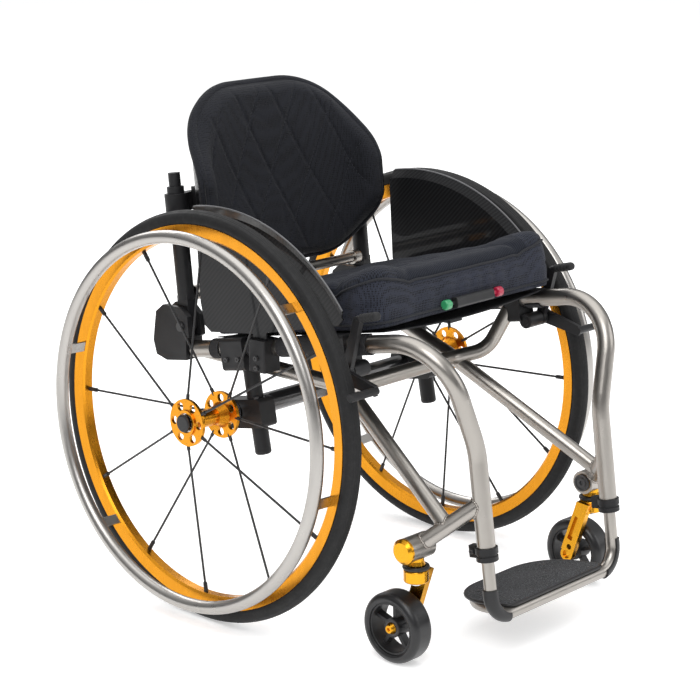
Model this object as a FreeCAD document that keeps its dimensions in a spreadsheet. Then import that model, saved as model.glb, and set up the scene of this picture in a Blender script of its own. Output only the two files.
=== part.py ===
"""Rigid-frame manual wheelchair, built as separate pieces.

Millimetres, +Z up. +X is the chair's left and -Y is forwards. The origin is on the ground, in the
middle of the chair's outline. The functions measure y from the rear axle, and the finished nodes are
moved back together by axle_y. Run it from the folder that should receive parts/NODE.step.
"""
import FreeCAD, Part
import Sketcher
import math
import os
from FreeCAD import Placement, Rotation, Vector

doc = FreeCAD.newDocument("Wheelchair")
sheet = doc.addObject("Spreadsheet::Sheet", "Size")

RIGHT, LEFT = -1, 1
SIDES = {"right": RIGHT, "left": LEFT}
NO_TURN = Rotation()
X_AXIS, Y_AXIS, Z_AXIS = Vector(1, 0, 0), Vector(0, 1, 0), Vector(0, 0, 1)

# Driving dimensions, in millimetres and degrees.
DIMENSIONS = {
    # rear axle's distance behind the middle of the chair
    "axle_y": 74.0,
    # rear wheels
    "wheel_radius": 297.0, "tyre_section": 12.5, "wheel_track": 502.0, "camber": 2.0,
    "rim_edge_radius": 277.4, "rim_bed_radius": 271.9, "rim_inner_radius": 258.0,
    "rim_half_width": 11.5, "rim_bed_half_width": 10.4, "rim_inner_half_width": 6.5,
    "handrim_radius": 263.9, "handrim_tube_radius": 9.5, "handrim_offset": 45.7,
    "handrim_tab_width": 15.0, "handrim_tab_thickness": 3.0,
    "flange_radius": 34.0, "flange_thickness": 5.0, "outer_flange": 37.0, "inner_flange": 34.0,
    "hub_barrel_radius": 12.5, "hub_boss_radius": 18.5, "hub_outer_end": 39.5, "hub_inner_end": 38.0,
    "hub_bore_radius": 8.0, "flange_hole_radius": 6.0, "flange_hole_circle": 24.8,
    "outer_bearing_face": 35.5,
    "bearing_radius": 14.28, "bearing_width": 7.9, "spoke_radius": 1.7, "ferrule_radius": 3.1,
    "ferrule_length": 16.0, "axle_radius": 6.35, "axle_inner_end": 104.0,
    "button_radius": 12.5, "plunger_radius": 3.0,
    # axle mounting
    "camber_tube_radius": 15.0, "camber_tube_end": 171.0, "axle_post_radius": 12.0,
    "axle_post_x": 181.0, "axle_post_length": 143.0,
    # frame
    "frame_tube_radius": 12.7, "frame_tube_wall": 1.3, "lower_tube_radius": 11.1,
    "seat_tube_x": 188.5, "knee_bend": 80.0, "sleeve_radius": 17.3, "sleeve_bore": 13.1,
    "sleeve_half_length": 22.0,
    # casters
    "caster_radius": 50.0, "caster_half_width": 18.5, "caster_x": 204.0, "caster_y": -318.6,
    "stem_x": 196.7, "stem_y": -347.0, "sleeve_z": 167.0, "stem_radius": 4.0,
    "cup_radius": 17.2, "cup_bottom": 119.0, "cup_top": 137.0, "caster_core_radius": 37.0,
    "caster_bearing_radius": 11.0, "fork_arm_thickness": 10.0,
    # footrest
    "footrest_tube_radius": 8.7, "footrest_z": 67.0, "footrest_bend": 34.0, "footplate_tilt": 7.0,
    "footplate_half_width": 106.0, "footplate_depth": 116.0, "footplate_thickness": 4.0,
    # seat, back and guards
    "cushion_half_width": 189.0, "cushion_length": 338.0, "cushion_rear": 54.0, "cushion_front": 76.0,
    "shell_back_radius": 420.0, "shell_side_radius": 200.0, "shell_corner": 70.0, "shell_thickness": 2.5,
    "back_half_width": 187.0, "back_height": 265.0, "pad_thickness": 24.0, "back_lean": 5.0,
    "back_post_radius": 12.5, "back_post_height": 203.0,
    "guard_x": 205.0, "guard_thickness": 1.8, "guard_radius": 298.0, "guard_fold_radius": 285.0,
    # brakes
    "brake_pivot_y": -240.0, "brake_pivot_z": 395.0, "spigot_radius": 6.0, "shoe_radius": 5.5,
    # fits
    "running": 0.05, "pivot_radius": 4.0,
}


def fill_sheet():
    for row, (alias, value) in enumerate(DIMENSIONS.items(), start=1):
        sheet.set("A%d" % row, alias)
        sheet.set("B%d" % row, str(value))
        sheet.setAlias("B%d" % row, alias)
    doc.recompute()


fill_sheet()


def size(alias):
    """A driving dimension's value."""
    return float(sheet.get(alias))


def value_of(expression):
    """The number an expression on the sheet gives, or the number itself."""
    if isinstance(expression, (int, float)):
        return float(expression)
    return float(sheet.evalExpression(expression))


def drive(obj, **properties):
    """Bind each property to its expression, or set it where it is a plain number."""
    for name, expression in properties.items():
        setattr(obj, name, value_of(expression))
        if not isinstance(expression, (int, float)):
            obj.setExpression(name, expression)
    return obj


def unit(vector):
    return Vector(vector).normalize()


def facing(direction):
    """The rotation that turns +Z to a direction."""
    return Rotation(Z_AXIS, unit(direction))


# ---------------------------------------------------------------- solids

def cylinder(name, radius, length, start, direction=Z_AXIS):
    rod = drive(doc.addObject("Part::Cylinder", name), Radius=radius, Height=length)
    rod.Placement = Placement(start, facing(direction))
    return rod


def rod_between(name, radius, start, end):
    return cylinder(name, radius, (end - start).Length, start, end - start)


def cone(name, radius_1, radius_2, length, start, direction):
    body = drive(doc.addObject("Part::Cone", name), Radius1=radius_1, Radius2=radius_2, Height=length)
    body.Placement = Placement(start, facing(direction))
    return body


def block(name, length, width, height, placement):
    """A box centred on its placement."""
    box = drive(doc.addObject("Part::Box", name), Length=length, Width=width, Height=height)
    corner = Vector(-value_of(length) / 2, -value_of(width) / 2, -value_of(height) / 2)
    box.Placement = placement.multiply(Placement(corner, NO_TURN))
    return box


def fuse(name, pieces):
    joined = doc.addObject("Part::MultiFuse", name)
    joined.Shapes = pieces
    return joined


def cut(name, base, tools):
    if len(tools) > 1:
        tools = [fuse(name + "_tools", tools)]
    result = doc.addObject("Part::Cut", name)
    result.Base = base
    result.Tool = tools[0]
    return result


def common(name, first, second):
    result = doc.addObject("Part::Common", name)
    result.Base = first
    result.Tool = second
    return result


def group(name, pieces):
    """Separate solids that share one node."""
    compound = doc.addObject("Part::Compound", name)
    compound.Links = pieces
    return compound


def rounded(name, base, radius, picks):
    """Fillet the edges that picks(edge) is true for."""
    doc.recompute()
    chosen = [number for number, edge in enumerate(base.Shape.Edges, start=1) if picks(edge)]
    fillet = doc.addObject("Part::Fillet", name)
    fillet.Base = base
    fillet.Edges = [(number, radius, radius) for number in chosen]
    return fillet


def closed_sketch(body, role, outline):
    """A closed outline of straight edges, each corner tied to the sheet."""
    plane = [item for item in body.Origin.OriginFeatures if item.Role == role][0]
    sketch = body.newObject("Sketcher::SketchObject", body.Name + "_sketch")
    sketch.AttachmentSupport = [(plane, "")]
    sketch.MapMode = "FlatFace"
    corners = [(value_of(across), value_of(along)) for across, along in outline]
    count = len(corners)
    for index in range(count):
        start = Vector(*corners[index], 0)
        end = Vector(*corners[(index + 1) % count], 0)
        sketch.addGeometry(Part.LineSegment(start, end), False)
    for index in range(count):
        sketch.addConstraint(Sketcher.Constraint("Coincident", index, 2, (index + 1) % count, 1))
    for index, corner in enumerate(outline):
        for kind, expression, value in zip(("DistanceX", "DistanceY"), corner, corners[index]):
            constraint = Sketcher.Constraint(kind, -1, 1, index, 1, value)
            number = sketch.addConstraint(constraint)
            if isinstance(expression, str):
                sketch.setExpression("Constraints[%d]" % number, expression)
    return sketch


def turned(name, outline, placement, angle=360.0):
    """A body revolved about its own Z axis from an outline of (radius, height) corners."""
    body = doc.addObject("PartDesign::Body", name)
    sketch = closed_sketch(body, "XZ_Plane", outline)
    revolution = body.newObject("PartDesign::Revolution", name + "_revolution")
    revolution.Profile = sketch
    revolution.ReferenceAxis = (sketch, ["V_Axis"])
    revolution.Angle = angle
    body.Placement = placement
    return body


def plate(name, outline, thickness, placement):
    """A flat outline padded along its own +Z."""
    body = doc.addObject("PartDesign::Body", name)
    sketch = closed_sketch(body, "XY_Plane", outline)
    pad = body.newObject("PartDesign::Pad", name + "_pad")
    pad.Profile = sketch
    drive(pad, Length=thickness)
    body.Placement = placement
    return body


def body_fillet(body, radius, picks):
    """A PartDesign fillet on the edges of the body's tip that picks(edge) is true for."""
    doc.recompute()
    tip = body.Tip
    chosen = ["Edge%d" % number for number, edge in enumerate(tip.Shape.Edges, start=1) if picks(edge)]
    fillet = body.newObject("PartDesign::Fillet", body.Name + "_fillet")
    fillet.Base = (tip, chosen)
    drive(fillet, Radius=radius)
    return body


def bent_tube(name, corners, radius, bends):
    """Cylinders and torus bends that follow straight runs between corners."""
    pieces = []
    start = corners[0]
    for index, bend in enumerate(bends):
        corner, after = corners[index + 1], corners[index + 2]
        incoming, outgoing = unit(corner - corners[index]), unit(after - corner)
        angle = incoming.getAngle(outgoing)
        reach = value_of(bend) * math.tan(angle / 2)
        inward = unit(outgoing - incoming * incoming.dot(outgoing))
        entry = corner - incoming * reach
        pieces.append(rod_between("%s_run%d" % (name, index), radius, start, entry))
        arc = doc.addObject("Part::Torus", "%s_bend%d" % (name, index))
        drive(arc, Radius1=bend, Radius2=radius)
        arc.Angle3 = math.degrees(angle)
        turn = Rotation(inward * -1, incoming, inward.cross(incoming) * -1, "ZXY")
        arc.Placement = Placement(entry + inward * value_of(bend), turn)
        pieces.append(arc)
        start = corner + outgoing * reach
    pieces.append(rod_between("%s_run%d" % (name, len(bends)), radius, start, corners[-1]))
    return pieces


def ring(name, outer, inner, length, start, direction=Z_AXIS):
    outside = cylinder(name + "_outside", outer, length, start, direction)
    inside = cylinder(name + "_inside", inner, length, start, direction)
    return cut(name, outside, [inside])


# ---------------------------------------------------------------- frames of reference

CAMBER = math.radians(size("camber"))
TYRE_RING = size("wheel_radius") - size("tyre_section")
HUB_HEIGHT = TYRE_RING * math.cos(CAMBER) + size("tyre_section")
TRACK_HALF = size("wheel_track") / 2

SEAT_REAR = Vector(size("seat_tube_x"), 84.0, 373.5)
KNEE = Vector(186.3, -387.7, 452.9)
SEAT_SLOPE = math.atan2(KNEE.z - SEAT_REAR.z, SEAT_REAR.y - KNEE.y)
SEAT_TURN = Rotation(X_AXIS, -math.degrees(SEAT_SLOPE))
BACK_PIVOT = Vector(size("seat_tube_x"), 97.0, 408.0)
BACK_TURN = Rotation(X_AXIS, -size("back_lean"))


def mirrored(point, side):
    """A point given for the left side, moved to the stated side."""
    return Vector(point.x * side, point.y, point.z)


def wheel_placement(side):
    """Local +Z points outboard along the axle and local +X up the wheel's plane."""
    outboard = Vector(side * math.cos(CAMBER), 0, math.sin(CAMBER))
    upward = Vector(-side * math.sin(CAMBER), 0, math.cos(CAMBER))
    turn = Rotation(upward, outboard.cross(upward), outboard, "ZXY")
    return Placement(Vector(side * TRACK_HALF, 0, HUB_HEIGHT), turn)


def in_wheel(side, point):
    return wheel_placement(side).multVec(point)


def outboard_of(side):
    return wheel_placement(side).Rotation.multVec(Z_AXIS)


def on_seat(x, along, up=0.0):
    """A point by its distance forwards along the seat tubes' axis plane and up square to it."""
    origin = Vector(0, SEAT_REAR.y, SEAT_REAR.z)
    offset = SEAT_TURN.multVec(Vector(0, -along, up))
    return Vector(x, 0, 0) + origin + offset


def seat_frame(x, along, up=0.0):
    return Placement(on_seat(x, along, up), SEAT_TURN)


def back_point(x, back, up):
    """A point in the leaning frame of the backrest, whose origin is on the pivot axis."""
    offset = BACK_TURN.multVec(Vector(x, back, up))
    return Vector(0, BACK_PIVOT.y, BACK_PIVOT.z) + offset


def back_frame(x, back, up, turn=NO_TURN):
    return Placement(back_point(x, back, up), BACK_TURN.multiply(turn))


def yz_plate_placement(x):
    """Local X runs rearwards, local Y up and local Z along the chair's +X."""
    return Placement(Vector(x, 0, 0), Rotation(Y_AXIS, Z_AXIS, X_AXIS, "ZXY"))


# ---------------------------------------------------------------- frame

FRONT_BEND = Vector(137.3, -404.4, 301.4)
FRONT_END = Vector(137.3, -421.0, 160.0)
FRONT_UP = unit(FRONT_BEND - FRONT_END)
LOWER_START = on_seat(size("seat_tube_x"), 10.0)
LOWER_BEND = Vector(115.0, -147.0, 340.0)
WING_TOP = Vector(137.3, -413.0, 228.0)
SLEEVE = Vector(size("stem_x"), size("stem_y"), size("sleeve_z"))
WING_JOINT = WING_TOP + (SLEEVE - WING_TOP) * 0.53
CROSS_PATH = [Vector(187.2, -208.5, 420.5), Vector(157.0, -182.0, 347.0), Vector(110.0, -157.0, 340.0)]
CROSS_BENDS = [40.0, 40.0]


def seat_tube_rod(name, side, radius):
    """A rod on the axis of one seat tube, to bore out whatever clamps on it."""
    return rod_between(name, radius, mirrored(SEAT_REAR, side), mirrored(KNEE, side))


def frame_runs(name, tube, lower, overrun):
    """Every tube of the frame at one radius, for the outside and for the bore."""
    pieces = []
    for label, side in SIDES.items():
        rear = on_seat(size("seat_tube_x"), -overrun)
        foot = FRONT_END - FRONT_UP * overrun
        main = [mirrored(point, side) for point in (rear, KNEE, FRONT_BEND, foot)]
        pieces += bent_tube("%s_main_%s" % (name, label), main, tube, ["Size.knee_bend", 110.0])
        low = [mirrored(point, side) for point in (LOWER_START, LOWER_BEND, WING_JOINT)]
        pieces += bent_tube("%s_lower_%s" % (name, label), low, lower, [60.0])
        wing = [mirrored(point, side) for point in (WING_TOP, SLEEVE)]
        pieces.append(rod_between("%s_wing_%s" % (name, label), lower, *wing))
    across = [mirrored(point, RIGHT) for point in CROSS_PATH] + CROSS_PATH[::-1]
    pieces += bent_tube(name + "_cross", across, lower, CROSS_BENDS + CROSS_BENDS[::-1])
    return pieces


def make_frame():
    outside = frame_runs("tube", "Size.frame_tube_radius", "Size.lower_tube_radius", 0.0)
    bore = frame_runs("bore", "Size.frame_tube_radius - Size.frame_tube_wall",
                      "Size.lower_tube_radius - Size.frame_tube_wall", 1.0)
    reach = size("sleeve_half_length")
    for label, side in SIDES.items():
        start = mirrored(SLEEVE, side) - X_AXIS * reach
        outside.append(cylinder("sleeve_" + label, "Size.sleeve_radius", 2 * reach, start, X_AXIS))
        bore.append(cylinder("sleeve_bore_" + label, "Size.sleeve_bore", 2 * reach + 2, start - X_AXIS,
                             X_AXIS))
        bore.append(cylinder("neck_opening_" + label, 11.2, 30.0, mirrored(SLEEVE, side), Z_AXIS * -1))
    return cut("welded_frame", fuse("frame_outside", outside), bore)


# ---------------------------------------------------------------- rear wheels

def make_tyre(label, side):
    tyre = drive(doc.addObject("Part::Torus", "wheel_tyre_" + label),
                 Radius1="Size.wheel_radius - Size.tyre_section", Radius2="Size.tyre_section")
    tyre.Placement = wheel_placement(side)
    return tyre


def make_rim(label, side):
    outline = [
        ("Size.rim_inner_radius", "-Size.rim_inner_half_width"),
        ("Size.rim_inner_radius + 3", "-Size.rim_half_width + 2"),
        ("Size.rim_edge_radius", "-Size.rim_half_width"),
        ("Size.rim_edge_radius", "-Size.rim_bed_half_width"),
        ("Size.rim_bed_radius", "-Size.rim_bed_half_width"),
        ("Size.rim_bed_radius", "Size.rim_bed_half_width"),
        ("Size.rim_edge_radius", "Size.rim_bed_half_width"),
        ("Size.rim_edge_radius", "Size.rim_half_width"),
        ("Size.rim_inner_radius + 3", "Size.rim_half_width - 2"),
        ("Size.rim_inner_radius", "Size.rim_inner_half_width"),
    ]
    return turned("wheel_rim_" + label, outline, wheel_placement(side))


def make_hub(label, side):
    outer_face, inner_face = "Size.outer_flange", "-Size.inner_flange"
    seat = "Size.bearing_radius + 0.01"
    outline = [
        (seat, "Size.hub_outer_end"),
        ("Size.hub_boss_radius", "Size.hub_outer_end"),
        ("Size.hub_boss_radius", outer_face),
        ("Size.flange_radius", outer_face),
        ("Size.flange_radius", outer_face + " - Size.flange_thickness"),
        ("Size.hub_boss_radius", outer_face + " - Size.flange_thickness"),
        ("Size.hub_barrel_radius", outer_face + " - 18"),
        ("Size.hub_barrel_radius", inner_face + " + 18"),
        ("Size.hub_boss_radius", inner_face + " + Size.flange_thickness"),
        ("Size.flange_radius", inner_face + " + Size.flange_thickness"),
        ("Size.flange_radius", inner_face),
        ("Size.hub_boss_radius", inner_face),
        ("Size.hub_boss_radius", "-Size.hub_inner_end"),
        (seat, "-Size.hub_inner_end"),
        (seat, "-Size.hub_inner_end + Size.bearing_width"),
        ("Size.hub_bore_radius", "-Size.hub_inner_end + Size.bearing_width"),
        ("Size.hub_bore_radius", "Size.outer_bearing_face - Size.bearing_width"),
        (seat, "Size.outer_bearing_face - Size.bearing_width"),
    ]
    spool = turned("hub_spool_" + label, outline, wheel_placement(side))
    holes = []
    faces = ((30.0, size("outer_flange") - size("flange_thickness") - 1),
             (0.0, -size("inner_flange") - 1))
    for first, start in faces:
        for step in range(6):
            angle = math.radians(first + 60 * step)
            circle = size("flange_hole_circle")
            point = Vector(circle * math.cos(angle), circle * math.sin(angle), start)
            holes.append(cylinder("flange_hole", "Size.flange_hole_radius", "Size.flange_thickness + 2",
                                  in_wheel(side, point), outboard_of(side)))
    return cut("wheel_hub_" + label, spool, holes)


def make_hub_bearings(label, side):
    rings = []
    for start in (size("outer_bearing_face") - size("bearing_width"), -size("hub_inner_end")):
        rings.append(ring("hub_bearing", "Size.bearing_radius", "Size.axle_radius + Size.running",
                          "Size.bearing_width", in_wheel(side, Vector(0, 0, start)), outboard_of(side)))
    return group("hub_bearings_" + label, rings)


def make_spokes(label, side):
    flange_middle = size("flange_thickness") / 2
    rows = ((0.0, size("outer_flange") - flange_middle, 2.5),
            (30.0, -size("inner_flange") + flange_middle, -2.5))
    spokes = []
    for first, flange_z, rim_z in rows:
        for step in range(6):
            angle = math.radians(first + 60 * step)
            outward = Vector(math.cos(angle), math.sin(angle), 0)
            root = in_wheel(side, outward * 29.5 + Z_AXIS * flange_z)
            tip = in_wheel(side, outward * (size("rim_inner_radius") + 1.5) + Z_AXIS * rim_z)
            line = unit(tip - root)
            shaft = rod_between("spoke_shaft", "Size.spoke_radius", root, tip)
            ferrule = cylinder("spoke_ferrule", "Size.ferrule_radius", "Size.ferrule_length",
                               tip - line * size("ferrule_length"), line)
            collar = cylinder("spoke_collar", 2.6, 11.0, root, line)
            spokes.append(fuse("spoke", [shaft, ferrule, collar]))
    return group("wheel_spokes_" + label, spokes)


def make_handrim(label, side):
    grip = drive(doc.addObject("Part::Torus", "handrim_ring_" + label),
                 Radius1="Size.handrim_radius", Radius2="Size.handrim_tube_radius")
    frame = wheel_placement(side)
    grip.Placement = frame.multiply(Placement(Vector(0, 0, size("handrim_offset")), NO_TURN))
    tab_start, tab_end = size("rim_half_width") - 2.4, size("handrim_offset") - 4
    tabs = []
    for step in range(6):
        turn = Rotation(Z_AXIS, side * 45 + 60 * step)
        middle = turn.multVec(Vector(263.0, 0, (tab_start + tab_end) / 2))
        place = frame.multiply(Placement(middle, turn))
        tabs.append(block("handrim_tab", "Size.handrim_tab_thickness", "Size.handrim_tab_width",
                          tab_end - tab_start, place))
    return fuse("handrim_" + label, [grip] + tabs)


def make_quick_release_axles():
    axles = []
    for label, side in SIDES.items():
        outward = outboard_of(side)
        start = in_wheel(side, Vector(0, 0, -size("axle_inner_end")))
        pin = cylinder("axle_pin", "Size.axle_radius", "Size.axle_inner_end + Size.outer_bearing_face + 1",
                       start, outward)
        head = cylinder("axle_head", "Size.bearing_radius - 2", 2.0,
                        in_wheel(side, Vector(0, 0, size("outer_bearing_face") + 0.15)), outward)
        bore = cylinder("axle_bore", "Size.plunger_radius + Size.running", 90.0,
                        in_wheel(side, Vector(0, 0, -40)), outward)
        axles.append(cut("quick_release_axle_" + label, fuse("axle_solid", [pin, head]), [bore]))
    return group("quick_release_axles", axles)


def make_axle_button(label, side):
    outward = outboard_of(side)
    face = size("outer_bearing_face") + 6.4
    cap = cylinder("button_cap", "Size.button_radius", 2.0, in_wheel(side, Vector(0, 0, face)), outward)
    crown = cone("button_crown", "Size.button_radius", "Size.button_radius - 2", 1.4,
                 in_wheel(side, Vector(0, 0, face + 2)), outward)
    plunger = cylinder("button_plunger", "Size.plunger_radius", face + 33,
                       in_wheel(side, Vector(0, 0, -32)), outward)
    return fuse("axle_button_" + label, [cap, crown, plunger])


# ---------------------------------------------------------------- axle mounting

POST_BOTTOM = Vector(size("axle_post_x"), -44.0, 236.0)
POST_UP = SEAT_TURN.multVec(Z_AXIS)
CAMBER_TUBE_Z = HUB_HEIGHT - (TRACK_HALF - size("camber_tube_end")) * math.tan(CAMBER)
AXLE_POST_ALONG = 104.0


def make_camber_tube():
    reach = size("camber_tube_end")
    start = Vector(-reach, 0, CAMBER_TUBE_Z)
    return ring("camber_tube", "Size.camber_tube_radius", "Size.camber_tube_radius - 2",
                "2 * Size.camber_tube_end", start, X_AXIS)


def make_axle_receivers():
    receivers = []
    for label, side in SIDES.items():
        inward = outboard_of(side) * -1
        collar = cylinder("receiver_collar", 16.5, 36.0, in_wheel(side, Vector(0, 0, -42)), inward)
        stem = cylinder("receiver_stem", 11.2, 70.0, in_wheel(side, Vector(0, 0, -42)), inward)
        bore = cylinder("receiver_bore", "Size.axle_radius + Size.running", 72.0,
                        in_wheel(side, Vector(0, 0, -41)), inward)
        receivers.append(cut("axle_receiver_" + label, fuse("receiver_solid", [collar, stem]), [bore]))
    return group("axle_receivers", receivers)


def make_axle_posts():
    posts = []
    for label, side in SIDES.items():
        bottom = mirrored(POST_BOTTOM, side)
        post = cylinder("post_" + label, "Size.axle_post_radius", "Size.axle_post_length", bottom, POST_UP)
        posts.append(rounded("axle_post_" + label, post, 4.5,
                             lambda edge: edge.Closed and edge.CenterOfMass.z < 250))
    return group("axle_posts", posts)


def edges_along(direction):
    """Picks straight edges that run along a direction."""
    def picks(edge):
        if not isinstance(edge.Curve, Part.Line):
            return False
        return abs(abs(edge.Curve.Direction.dot(direction)) - 1) < 1e-6
    return picks


def make_axle_post_clamps():
    clamps = []
    for label, side in SIDES.items():
        place = seat_frame(side * 183.0, AXLE_POST_ALONG - 9, -7.0)
        body = block("post_clamp_block", 47.0, 46.0, 48.0, place)
        soft = rounded("post_clamp_soft", body, 6.0, edges_along(SEAT_TURN.multVec(Y_AXIS)))
        tube = seat_tube_rod("post_clamp_tube", side, "Size.frame_tube_radius + Size.running")
        post = cylinder("post_clamp_post", "Size.axle_post_radius + Size.running",
                        "Size.axle_post_length + 0.3", mirrored(POST_BOTTOM, side), POST_UP)
        relief = rod_between("post_clamp_relief", "Size.lower_tube_radius + 0.4",
                             mirrored(LOWER_START, side), mirrored(LOWER_BEND, side))
        clamps.append(cut("axle_post_clamp_" + label, soft, [tube, post, relief]))
    return group("axle_post_clamps", clamps)


def make_camber_clamps():
    clamps = []
    for label, side in SIDES.items():
        x = side * size("axle_post_x")
        centre = Vector(x, -18.0, CAMBER_TUBE_Z)
        body = block("camber_clamp_block", 30.0, 76.0, 42.0, Placement(centre, SEAT_TURN))
        soft = rounded("camber_clamp_soft", body, 6.0, edges_along(X_AXIS))
        tube = cylinder("camber_clamp_tube", "Size.camber_tube_radius + Size.running", 40.0,
                        Vector(x - 20, 0, CAMBER_TUBE_Z), X_AXIS)
        post = cylinder("camber_clamp_post", "Size.axle_post_radius + Size.running",
                        "Size.axle_post_length", mirrored(POST_BOTTOM, side), POST_UP)
        collar = cylinder("camber_clamp_collar", 17.7, 30.0, Vector(side * 170.8, 0, CAMBER_TUBE_Z),
                          X_AXIS * side)
        clamps.append(cut("camber_clamp_" + label, soft, [tube, post, collar]))
    return group("camber_clamps", clamps)


# ---------------------------------------------------------------- casters

def make_caster_pitch_plugs():
    plugs = []
    for label, side in SIDES.items():
        centre = mirrored(SLEEVE, side)
        outward = X_AXIS * side
        reach = size("sleeve_half_length")
        core = cylinder("plug_core", "Size.sleeve_bore - Size.running", 2 * reach, centre - outward * reach,
                        outward)
        cap = cylinder("plug_cap", "Size.sleeve_radius + 0.4", 4.0, centre + outward * (reach + 0.1), outward)
        crown = cone("plug_crown", "Size.sleeve_radius + 0.4", "Size.sleeve_radius - 4", 4.0,
                     centre + outward * (reach + 4.1), outward)
        link = cylinder("plug_link", 8.0, 6.0, centre + outward * (reach - 3), outward)
        neck = cylinder("plug_neck", 11.1, 16.0, centre - Z_AXIS * 2, Z_AXIS * -1)
        skirt = cone("plug_skirt", 11.1, 12.8, 5.2, centre - Z_AXIS * 18, Z_AXIS * -1)
        solid = fuse("plug_solid", [core, cap, crown, link, neck, skirt])
        bolt = cylinder("plug_bolt_hole", "Size.stem_radius + 0.02", 28.0, centre - Z_AXIS * 28, Z_AXIS)
        plugs.append(cut("caster_pitch_plug_" + label, solid, [bolt]))
    return group("caster_pitch_plugs", plugs)


def make_caster_stem_bolts():
    bolts = []
    for label, side in SIDES.items():
        axis = Vector(side * size("stem_x"), size("stem_y"), 0)
        shank = cylinder("stem_shank", "Size.stem_radius", 52.0, axis + Z_AXIS * 114, Z_AXIS)
        nut = cylinder("stem_nut", 6.8, 3.6, axis + Z_AXIS * 114.5, Z_AXIS)
        bolts.append(fuse("caster_stem_bolt_" + label, [shank, nut]))
    return group("caster_stem_bolts", bolts)


def make_caster_fork(label, side):
    stem = Vector(side * size("stem_x"), size("stem_y"), 0)
    cup = cylinder("fork_cup", "Size.cup_radius", "Size.cup_top - Size.cup_bottom",
                   stem + Z_AXIS * size("cup_bottom"), Z_AXIS)
    soft_cup = rounded("fork_cup_soft", cup, 2.5, lambda edge: edge.Closed)
    thickness = size("fork_arm_thickness")
    inner = size("caster_x") - size("caster_half_width") - 2.0
    near = side * inner - (thickness if side > 0 else 0)
    upper = (size("stem_y") - 1, size("cup_bottom") + 7)
    lower = (size("caster_y"), size("caster_radius"))
    outline = [(upper[0] - 11, upper[1] + 8), (upper[0] + 11, upper[1] + 10), (upper[0] + 15, upper[1] - 2),
               (lower[0] + 9.5, lower[1] + 8), (lower[0] - 9.5, lower[1] - 4)]
    arm = plate("fork_arm_" + label, outline, "Size.fork_arm_thickness", yz_plate_placement(near))
    toe = cylinder("fork_toe", 10.5, thickness, Vector(near, *lower), X_AXIS)
    reach = size("sleeve_half_length")
    bridge = block("fork_bridge", 10.0, 16.0, 15.0,
                   Placement(Vector(side * (inner - 2), stem.y, upper[1]), NO_TURN))
    solid = fuse("fork_solid_" + label, [soft_cup, arm, toe, bridge])
    outer_face = near if side > 0 else near + thickness
    slope = Vector(0, lower[0] - upper[0], lower[1] - upper[1])
    lean = Rotation(Z_AXIS, slope * -1)
    middle = Vector(outer_face, (upper[0] + lower[0]) / 2 + 2, (upper[1] + lower[1]) / 2 + 5)
    pocket = block("fork_pocket", 10.0, 8.5, 40.0, Placement(middle, lean))
    spare = cylinder("fork_spare_hole", 4.2, 20.0,
                     Vector(near - 5, *lower) - unit(slope) * 13.5, X_AXIS)
    recess = cylinder("fork_axle_recess", 6.4, 6.0, Vector(outer_face - 3, *lower), X_AXIS)
    axle = cylinder("fork_axle_hole", "Size.stem_radius + 0.02", 20.0, Vector(near - 5, *lower), X_AXIS)
    bore = cylinder("fork_stem_bore", "Size.stem_radius + Size.running", reach, stem + Z_AXIS * 118, Z_AXIS)
    return cut("caster_fork_" + label, solid, [pocket, spare, recess, axle, bore])


def make_fork_seal(label, side):
    seal = drive(doc.addObject("Part::Torus", "fork_seal_" + label), Radius1=15.6, Radius2=3.0)
    seal.Placement = Placement(Vector(side * size("stem_x"), size("stem_y"), size("cup_top") + 3.05), NO_TURN)
    return seal


def caster_start(side, offset):
    """A point on the caster's axle, a stated distance outboard of the wheel's middle."""
    return Vector(side * (size("caster_x") + offset), size("caster_y"), size("caster_radius"))


def make_caster_axle(label, side):
    outward = X_AXIS * side
    inner_face = -size("caster_half_width") + 1.5 - size("fork_arm_thickness")
    pin = cylinder("caster_pin", "Size.stem_radius", 14.0 - inner_face, caster_start(side, inner_face),
                   outward)
    cap = cone("caster_cap", 8.5, 5.5, 6.0, caster_start(side, 12.6), outward)
    spacer = cylinder("caster_spacer", 5.5, 6.5, caster_start(side, -18.9), outward)
    socket = cylinder("caster_cap_socket", 2.5, 4.0, caster_start(side, 15.6), outward)
    return cut("caster_axle_" + label, fuse("caster_axle_solid", [pin, cap, spacer]), [socket])


def make_caster_core(label, side):
    outward = X_AXIS * side
    hub = cylinder("core_hub", 13.4, 24.0, caster_start(side, -12), outward)
    rim_outside = cylinder("core_rim", "Size.caster_core_radius", 30.0, caster_start(side, -15), outward)
    rim_inside = cylinder("core_rim_inside", "Size.caster_core_radius - 3", 30.0, caster_start(side, -15),
                          outward)
    rim = cut("core_rim_ring", rim_outside, [rim_inside])
    spokes = []
    for step in range(5):
        turn = Rotation(X_AXIS, 90 + 72 * step)
        middle = caster_start(side, 0) + turn.multVec(Vector(0, 24.0, 0))
        spokes.append(block("core_spoke", 12.0, 24.0, 5.2, Placement(middle, turn)))
    bore = cylinder("core_bore", "Size.caster_bearing_radius + 0.01", 26.0, caster_start(side, -13), outward)
    return cut("caster_core_" + label, fuse("core_solid_" + label, [hub, rim] + spokes), [bore])


def make_caster_bearings(label, side):
    rings = []
    for start in (-12.0, 5.0):
        rings.append(ring("caster_bearing", "Size.caster_bearing_radius", "Size.stem_radius + Size.running",
                          7.0, caster_start(side, start), X_AXIS * side))
    return group("caster_bearings_" + label, rings)


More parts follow.
